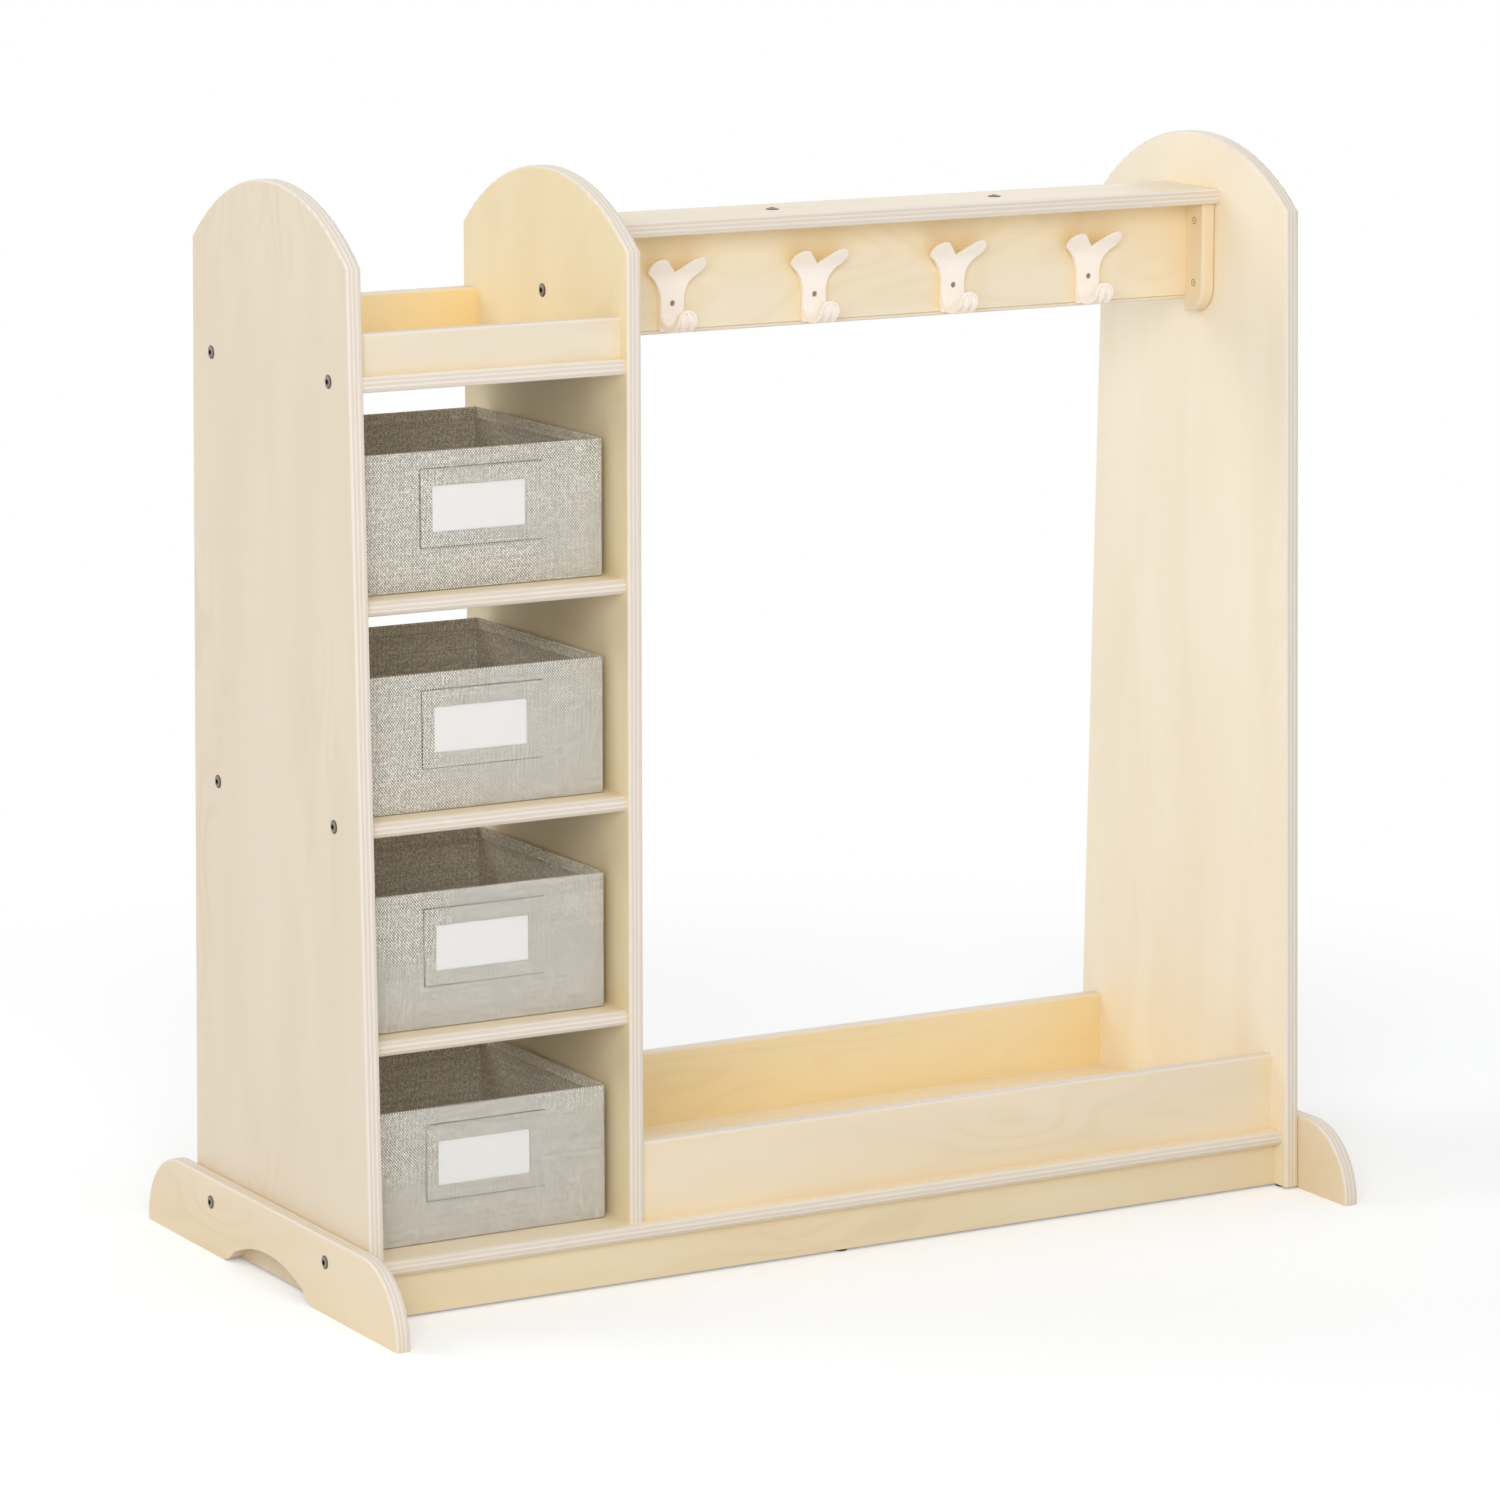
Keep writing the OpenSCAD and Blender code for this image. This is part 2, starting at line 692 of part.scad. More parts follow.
// The pilot holes of the cleat screws in the panel whose face is at x
module screw_pilots(x, towards_panel) {
    for (z = cleat_screw_zs)
        translate([x - towards_panel * over, cleat_screw_y, z]) rotate([0, 90 * towards_panel, 0])
            cylinder(d = cleat_screw_d + 2 * snug_gap, h = over + cleat_screw_bite + end_gap);
}

// ---------- moulded double hooks ----------
// A hook's frame starts at its screw, on the front face of the rail.

hook_screw_bite = ply - 4; // how far a hook's screw runs into the rail
hook_recess = 3; // depth of the recess for its head
seat_outer = seat_radius + seat_wall;
seat_y = -hook_plate - seat_radius; // centre of the lower hook's seat
seat_z = seat_outer - stem_drop;
hook_reach = hook_plate + max(arm_bend, 2 * seat_radius + seat_wall);

function hook_x(i) = x_bay_0 + hook_first + i * hook_pitch;

// What lies in front of a face of the arms, seen from the side in Y and Z: the face is upright
// up to a start, bends forwards at the given radius and then leans at the given angle
module before_arm(start, radius, lean) {
    corner = [radius, radius * tan(lean / 2)];
    bend_end = radius * [cos(lean), sin(lean)];
    far = arm_rise + arm_tip;
    translate([-arm_bend - hook_plate, start]) difference() {
        polygon([[-far, -stem_drop - start - over], [radius, -stem_drop - start - over],
                 corner, corner + far * [-sin(lean), cos(lean)], [-far, far]]);
        difference() {
            polygon([[radius - over, 0], [radius, 0], corner + [over, over], bend_end,
                     bend_end - over * [cos(lean), sin(lean)]]);
            circle(radius, $fn = 360);
        }
    }
}

// Stem and arms seen from the side, in Y and Z; the arms are drawn in towards their tips
module arm_side() {
    difference() {
        before_arm(bend_start - arm_thinning, arm_bend + hook_plate, arm_lean + arm_taper);
        before_arm(bend_start, arm_bend, arm_lean);
        translate([-hook_reach - over, -stem_drop - 2 * over])
            square([hook_reach + 2 * over, 2 * over]);
    }
}

// Stem and arms seen from the front, in X and Z. The flanks are concave arcs between the stem
// and the round arm tips, and straight sides lead from the tips down into the notch. Both run
// a little inside the tips, and each arc a little inside the stem's side, so that they cross.
module arm_front() {
    tip = [arm_spread, arm_rise];
    meet = arm_tip - flank_tuck;
    run = arm_spread - hook_stem;
    rise = arm_rise - flare_start;
    flank = (run * run + rise * rise - meet * meet) / (2 * (run + meet));
    flank_centre = [hook_stem + flank, flare_start];
    flank_end = flank_centre + (tip - flank_centre) * (flank - over) / (flank + meet);
    to_tip = tip - [0, notch_rise];
    side = sqrt(to_tip * to_tip - meet * meet);
    lean = atan2(to_tip[1], to_tip[0]) + asin(meet / norm(to_tip));
    notch_end = [side * cos(lean), notch_rise + side * sin(lean)];
    right = [[hook_stem, -stem_drop - over], [hook_stem, flare_start - flank_lead], flank_end,
             tip, notch_end];
    left = [for (i = [len(right) - 1:-1:0]) [-right[i][0], right[i][1]]];
    difference() {
        polygon(concat(right, [[0, notch_rise]], left));
        for (half = [0, 1]) mirror([half, 0]) translate(flank_centre) circle(flank, $fn = 96);
    }
    for (half = [0, 1]) mirror([half, 0]) translate(tip) circle(arm_tip);
}
flank_tuck = 0.1; // how far flanks and notch sides run inside the round arm tips
flank_lead = 2; // how far below its arc a flank leaves the stem's side

// The lower hook seen from the side, in Y and Z: a half-round seat and an upright tip
module seat_side(inner, outer) {
    difference() {
        intersection() {
            translate([seat_y, seat_z]) circle(outer, $fn = 96);
            translate([seat_y - outer, seat_z - outer]) square([2 * outer, outer]);
        }
        translate([seat_y, seat_z]) circle(inner, $fn = 96);
    }
    translate([seat_y - outer, seat_z - over / 10])
        square([outer - inner, seat_tip_rise + over / 10]);
}

// The lower hook seen from the front, in X and Z: a tongue with a round tip
module seat_front(root, half_width) {
    shoulder = seat_z + seat_tip_rise - seat_half_width;
    translate([0, shoulder]) circle(half_width);
    translate([-root, -stem_drop - over]) square([2 * root, shoulder + stem_drop + over]);
}

// The lower hook seen from above, in X and Y: as wide as the stem, then drawn in to its tip
module seat_plan() {
    polygon([[-hook_stem, 0], [-hook_stem, -hook_plate], [-seat_half_width, seat_y - seat_outer],
             [seat_half_width, seat_y - seat_outer], [hook_stem, -hook_plate], [hook_stem, 0]]);
}

module forwards(depth) {
    rotate([90, 0, 0]) linear_extrude(depth) children();
}

// The two hollows in the lower hook's outer side, with a rim round them and a rib between
module seat_hollows() {
    for (side = [0, 1]) mirror([side, 0, 0]) intersection() {
        board(seat_rib / 2, seat_half_width) intersection() {
            seat_side(seat_outer - seat_hollow, seat_outer + over);
            translate([seat_y - seat_outer - over, -stem_drop - over])
                square([seat_outer + over, 2 * seat_outer]);
        }
        forwards(hook_reach) seat_front(seat_half_width - seat_rib, seat_half_width - seat_rib);
    }
}

module double_hook(i) {
    color(cream) translate([hook_x(i), y_rail, hook_z]) difference() {
        union() {
            intersection() {
                board(-2 * arm_spread, 2 * arm_spread) arm_side();
                translate([0, over, 0]) forwards(hook_reach + 2 * over) arm_front();
            }
            intersection() {
                board(-hook_stem, hook_stem) seat_side(seat_radius, seat_outer);
                translate([0, -hook_plate / 2, 0]) forwards(hook_reach)
                    seat_front(hook_stem, seat_half_width);
                translate([0, 0, -stem_drop - over]) linear_extrude(2 * seat_outer) seat_plan();
            }
        }
        seat_hollows();
        rotate([90, 0, 0])
            cylinder(d = hook_screw_d + 2 * bolt_gap, h = 2 * hook_plate, center = true);
        translate([0, hook_recess - hook_plate, 0]) rotate([90, 0, 0])
            cylinder(d = hook_screw_head_d + 2 * bolt_gap, h = hook_recess + over);
    }
}

// ---------- fasteners ----------

// A connector bolt with its underhead face at z = 0 and its shank upwards
module connector_bolt(clamped) {
    rim = 0.4;
    dome = (pow(bolt_head_d / 2, 2) + pow(bolt_head_h - rim, 2)) / (2 * (bolt_head_h - rim));
    difference() {
        union() {
            translate([0, 0, -rim]) cylinder(d = bolt_head_d, h = rim);
            intersection() {
                translate([0, 0, dome - bolt_head_h]) sphere(dome, $fn = 96);
                translate([0, 0, -bolt_head_h]) cylinder(d = bolt_head_d, h = bolt_head_h - rim);
            }
            cylinder(d = bolt_d, h = clamped + nut_inset + bolt_tip);
        }
        translate([0, 0, -bolt_head_h - over])
            cylinder(d = bolt_socket, h = over + bolt_head_h + rim, $fn = 6);
    }
}

module bolts_along_x(places) {
    color(dark_steel) for (p = places)
        translate([p[0], p[2], p[3]]) rotate([0, 90 * p[1], 0]) connector_bolt(p[4]);
}

module shelf_bolts() {
    bolts_along_x(shelf_bolt_places);
}

module rail_end_bolts() {
    bolts_along_x(rail_bolt_places);
}

module foot_bolts() {
    bolts_along_x(foot_bolt_places);
}

module top_board_bolts() {
    color(dark_steel) for (x = top_bolt_xs)
        translate([x, y_rail_middle, rail_top + ply]) rotate([180, 0, 0]) connector_bolt(ply);
}

module divider_base_bolts() {
    color(dark_steel) for (y = bolt_y)
        translate([x_column_1 + ply / 2, y, apron_top]) connector_bolt(ply);
}

// A barrel nut along Z, its cross bore along X and a driver slot in its lower end
module barrel_nut() {
    slot = 1.2;
    difference() {
        cylinder(d = nut_d, h = nut_length, center = true);
        rotate([0, 90, 0])
            cylinder(d = bolt_d + 2 * thread_gap, h = nut_d + 2 * over, center = true);
        translate([0, 0, -nut_length / 2]) cube([slot, nut_d + over, 2 * slot], center = true);
    }
}

module barrel_nuts() {
    color(zinc) {
        for (p = concat(shelf_bolt_places, foot_bolt_places))
            translate([p[0] + p[1] * (p[4] + nut_inset), p[2], p[3]]) barrel_nut();
        for (p = rail_bolt_places)
            translate([p[0] + p[1] * (p[4] + nut_inset), p[2], p[3]]) rotate([90, 0, 0])
                barrel_nut();
        for (x = top_bolt_xs)
            translate([x, y_rail_middle, rail_top - nut_inset]) rotate([90, 90, 0])
                barrel_nut();
        for (y = bolt_y)
            translate([x_column_1 + ply / 2, y, base_top + nut_inset]) rotate([0, -90, 0])
                barrel_nut();
    }
}

module dowels() {
    color(beech) for (p = all_dowels)
        translate([p[0] + p[1] * (dowel_length / 2 - dowel_in_panel), p[2], p[3]])
            rotate([0, 90, 0]) cylinder(d = dowel_d, h = dowel_length, center = true);
}

// A countersunk wood screw with its head's face at z = 0 and its point upwards
module wood_screw(length, shank, head) {
    difference() {
        union() {
            cylinder(d1 = head, d2 = shank, h = (head - shank) / 2);
            cylinder(d = shank, h = length - shank);
            translate([0, 0, length - shank]) cylinder(d1 = shank, d2 = shank / 4, h = shank);
        }
        for (turn = [0, 90]) rotate([0, 0, turn])
            cube([head * 0.55, head * 0.12, head * 0.2], center = true);
    }
}

// The space for a countersunk cleat screw through a board of a given thickness
module screw_clearance(thickness) {
    shank = cleat_screw_d + 2 * snug_gap;
    head = cleat_screw_head_d + 2 * snug_gap;
    translate([0, 0, -over]) cylinder(d = head, h = over);
    cylinder(d1 = head, d2 = shank, h = (head - shank) / 2);
    cylinder(d = shank, h = thickness + over);
}

module hook_screws() {
    head_height = (hook_screw_head_d - hook_screw_d) / 2;
    seat = hook_plate - hook_recess + head_height; // from the head's face to the rail
    color(zinc) for (i = [0:hook_count - 1])
        translate([hook_x(i), y_rail - seat, hook_z]) rotate([-90, 0, 0])
            wood_screw(seat + hook_screw_bite, hook_screw_d, hook_screw_head_d);
}

module cleat_screws() {
    color(birch_edge) for (z = cleat_screw_zs, end = [[x_bay_0 + ply, -1], [x_bay_1 - ply, 1]])
        translate([end[0], cleat_screw_y, z]) rotate([0, 90 * end[1], 0])
            wood_screw(ply + cleat_screw_bite, cleat_screw_d, cleat_screw_head_d);
}

glide_ys = [glide_inset - panel_low_depth / 2, panel_low_depth / 2 - glide_inset];
glide_pin_d = 2;
glide_pin_length = 10;
glide_places = concat(
    [for (x = [x_left + ply / 2, x_right - ply / 2], y = glide_ys) [x, y]],
    [for (y = apron_ys) [0, y]]);

module glide_pin_bore(place) {
    translate([place[0], place[1], glide_thick - over])
        cylinder(d = glide_pin_d + 2 * snug_gap, h = over + glide_pin_length + end_gap);
}

module floor_glides() {
    bevel = 0.6;
    color("#3a3835") for (place = glide_places) translate([place[0], place[1], 0]) {
        rotate_extrude()
            polygon([[0, 0], [glide_d / 2 - bevel, 0], [glide_d / 2, bevel],
                     [glide_d / 2, glide_thick], [0, glide_thick]]);
        cylinder(d = glide_pin_d, h = glide_thick + glide_pin_length);
    }
}

// ---------- mirror ----------

module mirror_sheet() {
    r = mirror_corner;
    color("#cfd8dc") translate([x_right + tape_thick, -mirror_width / 2, mirror_bottom])
        upright() linear_extrude(mirror_thick)
            soft_rectangle(mirror_width, mirror_height, [r, r, r, r]);
}

module mirror_tape() {
    strip = [20, (mirror_height - 5 * tape_margin) / 4];
    color("#f4f4f0") for (side = [-1, 1], row = [0:3])
        translate([x_right, side * (mirror_width / 2 - tape_margin) - strip[0] / 2,
                   mirror_bottom + tape_margin + row * (strip[1] + tape_margin)])
            cube([tape_thick, strip[0], strip[1]]);
}
tape_margin = 25; // distance of the adhesive strips from the mirror's edges and each other

// ---------- fabric bins ----------

bin_width = column_width - 2 * bin_side_gap;

// Places what belongs to a bin: 1 is under the tray and 4 stands on the base.
// Its frame starts at the lower left front corner of the bin.
module in_bin(number) {
    translate([column_middle - bin_width / 2, y_shelf_front + bin_setback,
               shelf_top(tray_level - number) + bin_gap])
        children();
}

module bin_box(number) {
    r = bin_corner;
    color(linen) in_bin(number) difference() {
        linear_extrude(bin_height) soft_rectangle(bin_width, bin_depth, [r, r, r, r]);
        translate([bin_wall, bin_wall, bin_wall]) linear_extrude(bin_height)
            square([bin_width - 2 * bin_wall, bin_depth - 2 * bin_wall]);
    }
}

module bin_base_board(number) {
    inset = bin_wall + loose_gap;
    color(linen_dark) in_bin(number) translate([inset, inset, bin_wall])
        cube([bin_width - 2 * inset, bin_depth - 2 * inset, bin_board]);
}

// Layers of a label pocket, from the bin's front face forwards
pocket_cavity = 1; // depth of the space for the card and the window film
window_film = 0.3; // thickness of the clear film
card_thick = 0.4; // thickness of the card
film_overlap = 5; // how far film and card run behind the pocket's frame
window_left = pocket_left + (pocket_width - window_width) / 2 - 2;
window_low = pocket_rise + (pocket_height - window_height) / 2 - 1;

module label_pocket(number) {
    r = 2;
    color(linen) in_bin(number) difference() {
        translate([pocket_left, 0, pocket_rise]) forwards(pocket_thick)
            soft_rectangle(pocket_width, pocket_height, [r, r, r, r]);
        translate([window_left, over, window_low]) forwards(pocket_thick + 2 * over)
            square([window_width, window_height]);
        // the pocket for the card is open at the right-hand side
        translate([window_left - film_overlap - loose_gap, over,
                   window_low - film_overlap - loose_gap])
            forwards(pocket_cavity + over)
                square([pocket_width, window_height + 2 * (film_overlap + loose_gap)]);
    }
}

module label_window(number) {
    color("#eef2f4", 0.4) in_bin(number)
        translate([window_left - film_overlap, window_film - pocket_cavity,
                   window_low - film_overlap])
            forwards(window_film)
                square([window_width + 2 * film_overlap, window_height + 2 * film_overlap]);
}

module label_card(number) {
    behind = (pocket_cavity - window_film - card_thick) / 2;
    color("#f2f1ee") in_bin(number)
        translate([window_left - film_overlap, -behind, window_low - film_overlap])
            forwards(card_thick)
                square([window_width + 2 * film_overlap, window_height + 2 * film_overlap]);
}

// ---------- what each node draws ----------

left_side_panel();
divider_panel();
right_side_panel();
left_foot();
right_foot();
base_shelf();
front_apron();
rear_apron();
tray_shelf();
tray_front_rail();
tray_rear_rail();
bin_shelf_upper();
bin_shelf_middle();
bin_shelf_lower();
trough_front_rail();
trough_rear_rail();
top_board();
hook_rail();
left_cleat();
right_cleat();
for (i = [0:hook_count - 1])
    double_hook(i);
shelf_bolts();
rail_end_bolts();
foot_bolts();
top_board_bolts();
divider_base_bolts();
barrel_nuts();
dowels();
hook_screws();
cleat_screws();
floor_glides();
mirror_sheet();
mirror_tape();
for (number = [1:4]) {
    bin_box(number);
    bin_base_board(number);
    label_pocket(number);
    label_window(number);
    label_card(number);
}
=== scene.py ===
"""Looks of a children's dress-up storage unit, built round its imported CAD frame.

Birch plywood boards keep their CAD shapes and get a plywood that is layered through each
board's own thickness. The fabric bins, their label pockets and the moulded hooks are new
pieces that stand for their CAD nodes. Lengths are in metres unless a name ends in mm, and
a name that ends in waves holds a noise's waves to the millimetre along each direction.
"""

import logging
import math
from collections.abc import Sequence
from dataclasses import dataclass
from enum import Enum

import bmesh
import bpy
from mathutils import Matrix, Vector, noise


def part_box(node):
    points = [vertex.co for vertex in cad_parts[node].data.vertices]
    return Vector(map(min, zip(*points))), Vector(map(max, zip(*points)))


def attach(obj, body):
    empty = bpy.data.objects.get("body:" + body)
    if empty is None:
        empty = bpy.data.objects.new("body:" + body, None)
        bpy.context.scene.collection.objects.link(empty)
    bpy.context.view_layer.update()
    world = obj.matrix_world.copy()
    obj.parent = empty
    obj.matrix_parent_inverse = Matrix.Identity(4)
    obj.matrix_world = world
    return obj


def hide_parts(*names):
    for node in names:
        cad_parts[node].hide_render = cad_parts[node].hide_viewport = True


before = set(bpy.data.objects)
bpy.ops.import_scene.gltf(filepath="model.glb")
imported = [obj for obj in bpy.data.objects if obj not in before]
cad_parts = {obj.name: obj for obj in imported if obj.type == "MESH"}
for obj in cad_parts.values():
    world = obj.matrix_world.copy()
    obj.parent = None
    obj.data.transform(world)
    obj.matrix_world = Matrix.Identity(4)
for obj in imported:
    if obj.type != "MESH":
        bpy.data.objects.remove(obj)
log = logging.getLogger("dress_up_unit")

Socket = bpy.types.NodeSocket
Node = bpy.types.Node
Inputs = dict[str | int, object]
Mesh = bpy.types.Mesh
BMesh = bmesh.types.BMesh
Piece = bpy.types.Object
Finish = bpy.types.Material
Colour = tuple[float, float, float, float]
Pair = tuple[float, float]
Triple = tuple[float, float, float]

MM = 0.001
EXACT = 1e-6
CLOSE = 1e-5
FLOAT = "NodeSocketFloat"
COLOUR = "NodeSocketColor"
WHITE: Colour = (1.0, 1.0, 1.0, 1.0)
BLACK: Colour = (0.0, 0.0, 0.0, 1.0)


class Axis(Enum):
    """A direction of the shared frame."""

    X = 0
    Y = 1
    Z = 2


def rgb(red: int, green: int, blue: int) -> Colour:
    """Gives the shader's linear colour for screen values that run from 0 to 255."""
    parts = [value / 255 for value in (red, green, blue)]
    linear = [p / 12.92 if p <= 0.04045 else ((p + 0.055) / 1.055) ** 2.4 for p in parts]
    return (*linear, 1.0)


class VeneerAndPaintedLight(Enum):
    """The boards' face tones, each with the tone of its figure: partly the veneers' own differences
    and partly painted light, each board's tone set lighter or darker, warmer or cooler, by how
    light falls on that board.
    """

    PALE = (rgb(248, 238, 219), rgb(244, 232, 210))
    PLAIN = (rgb(243, 231, 209), rgb(239, 226, 201))
    COOL = (rgb(233, 222, 202), rgb(228, 215, 193))
    ROSY = (rgb(231, 217, 195), rgb(227, 212, 189))
    HONEY = (rgb(238, 223, 197), rgb(233, 216, 187))
    WARM = (rgb(243, 229, 196), rgb(238, 222, 184))
    DEEP = (rgb(233, 219, 191), rgb(228, 211, 180))


# ---------- shader graphs ----------


class Graph:
    """Adds nodes to one material or node group and links them."""

    def __init__(self, tree: bpy.types.NodeTree) -> None:
        """Takes over the tree that the nodes go into."""
        self.tree = tree

    def fill(self, node: Node, inputs: Inputs) -> None:
        """Gives a node's inputs, by name or number, a socket to read or a fixed value."""
        for name, value in inputs.items():
            if isinstance(value, Socket):
                self.tree.links.new(value, node.inputs[name])
            else:
                node.inputs[name].default_value = value

    def node(self, kind: str, inputs: Inputs | None = None, **settings: object) -> Node:
        """Adds a node.

        Args:
            kind: the node's type name.
            inputs: what goes into its inputs, by name or number.
            **settings: its other properties.

        Returns:
            The new node.
        """
        made = self.tree.nodes.new(kind)
        for name, value in settings.items():
            setattr(made, name, value)
        self.fill(made, inputs or {})
        return made

    def place(self, name: str, inputs: Inputs) -> Node:
        """Places the shared node group of that name."""
        return self.node("ShaderNodeGroup", inputs, node_tree=bpy.data.node_groups[name])

    def math(self, operation: str, *values: object, clamp: bool = False) -> Socket:
        """Adds a Math node of one to three values, held between 0 and 1 if clamp is set."""
        return self.node("ShaderNodeMath", dict(enumerate(values)), operation=operation,
                         use_clamp=clamp).outputs[0]

    def times(self, first: object, second: object) -> Socket:
        """Multiplies two numbers."""
        return self.math("MULTIPLY", first, second)

    def between(self, value: Socket, low: float, high: float) -> Socket:
        """Maps a number that runs from 0 to 1 to one that runs from low to high."""
        return self.math("MULTIPLY_ADD", value, high - low, low)

    def step(self, value: Socket, start: float, end: float) -> Socket:
        """Gives 0 at start and 1 at end, smooth between them. Start may be the larger."""
        return self.node("ShaderNodeMapRange", {"Value": value, "From Min": start, "From Max": end},
                         interpolation_type="SMOOTHSTEP").outputs["Result"]

    def mix(self, factor: object, first: object, second: object, blend: str = "MIX") -> Socket:
        """Mixes two colours: factor says how much of the second shows, from 0 to 1."""
        made = self.node("ShaderNodeMix", {0: factor, 6: first, 7: second}, data_type="RGBA",
                         blend_type=blend)
        return made.outputs[2]

    def vector(self, x: object, y: object, z: object = 0.0) -> Socket:
        """Joins three numbers to a vector."""
        return self.node("ShaderNodeCombineXYZ", {0: x, 1: y, 2: z}).outputs[0]

    def noise(self, places: Sequence[Socket], waves: Sequence[float], detail: float = 2.0,
              rough: float = 0.5, distortion: float = 0.0, plane: float = 0.0) -> Socket:
        """Adds a soft noise from 0 to 1, stretched by its own amount along each direction.

        Args:
            places: the two or three coordinates that it is read at.
            waves: its waves to a unit of each coordinate.
            detail: how many finer layers it has.
            rough: how strong those layers are.
            distortion: how far it is bent out of its own pattern.
            plane: its third coordinate, where places holds two.

        Returns:
            The noise value's socket.
        """
        scaled = [self.times(place, wave) for place, wave in zip(places, waves)]
        if len(scaled) < 3:
            scaled.append(plane)
        return self.node("ShaderNodeTexNoise", {
            "Vector": self.vector(*scaled), "Scale": 1.0, "Detail": detail,
            "Roughness": rough, "Distortion": distortion}).outputs[0]


@dataclass(frozen=True)
class SharedEffect:
    """A shader node group with named inputs and outputs, built once."""

    name: str
    floats: tuple[str, ...]
    colours: tuple[str, ...]
    outputs: dict[str, str]

    def start(self) -> tuple[Graph, dict[str, Socket], Node]:
        """Makes the group's tree with its sockets.

        Returns:
            The graph, the group's inputs by name, and its output node.
        """
        tree = bpy.data.node_groups.new(self.name, "ShaderNodeTree")
        for name in self.floats:
            tree.interface.new_socket(name, in_out="INPUT", socket_type=FLOAT)
        for name in self.colours:
            tree.interface.new_socket(name, in_out="INPUT", socket_type=COLOUR)
        for name, kind in self.outputs.items():
            tree.interface.new_socket(name, in_out="OUTPUT", socket_type=kind)
        graph = Graph(tree)
        source = graph.node("NodeGroupInput")
        return graph, {s.name: s for s in source.outputs if s.name}, graph.node("NodeGroupOutput")


@dataclass(frozen=True)
class BirchFigure:
    """The birch grain: a soft figure along the board, short fine pores, flames of rings."""

    figure_waves: Triple = (0.0028, 0.014, 0.05)
    figure_rough: float = 0.45
    figure_bend: float = 0.5
    pore_waves: Triple = (0.05, 1.1, 1.1)
    pore_rough: float = 0.6
    pore_step: Pair = (0.56, 0.70)
    ring_waves: Triple = (0.004, 0.012, 0.02)
    ring_turns: float = 58.0
    ring_step: Pair = (0.1, 1.0)
    flame_waves: Pair = (0.0022, 0.006)
    flame_plane: float = 3.7
    flame_step: Pair = (0.5, 0.72)

    def build(self) -> None:
        """Builds the group, which reads millimetres along, across and down in the wood."""
        graph, take, give = SharedEffect(
            "birch figure", ("Along", "Across", "Depth"), (),
            {"Figure": FLOAT, "Pores": FLOAT, "Flame": FLOAT}).start()
        places = [take["Along"], take["Across"], take["Depth"]]
        figure = graph.noise(places, self.figure_waves, rough=self.figure_rough,
                             distortion=self.figure_bend)
        pores = graph.noise(places, self.pore_waves, rough=self.pore_rough)
        bend = graph.noise(places, self.ring_waves, detail=1.0)
        rings = graph.math("SINE", graph.times(bend, self.ring_turns))
        where = graph.noise(places[:2], self.flame_waves, detail=0.0, plane=self.flame_plane)
        graph.fill(give, {
            "Figure": figure, "Pores": graph.step(pores, *self.pore_step),
            "Flame": graph.times(graph.step(rings, *self.ring_step),
                                 graph.step(where, *self.flame_step))})


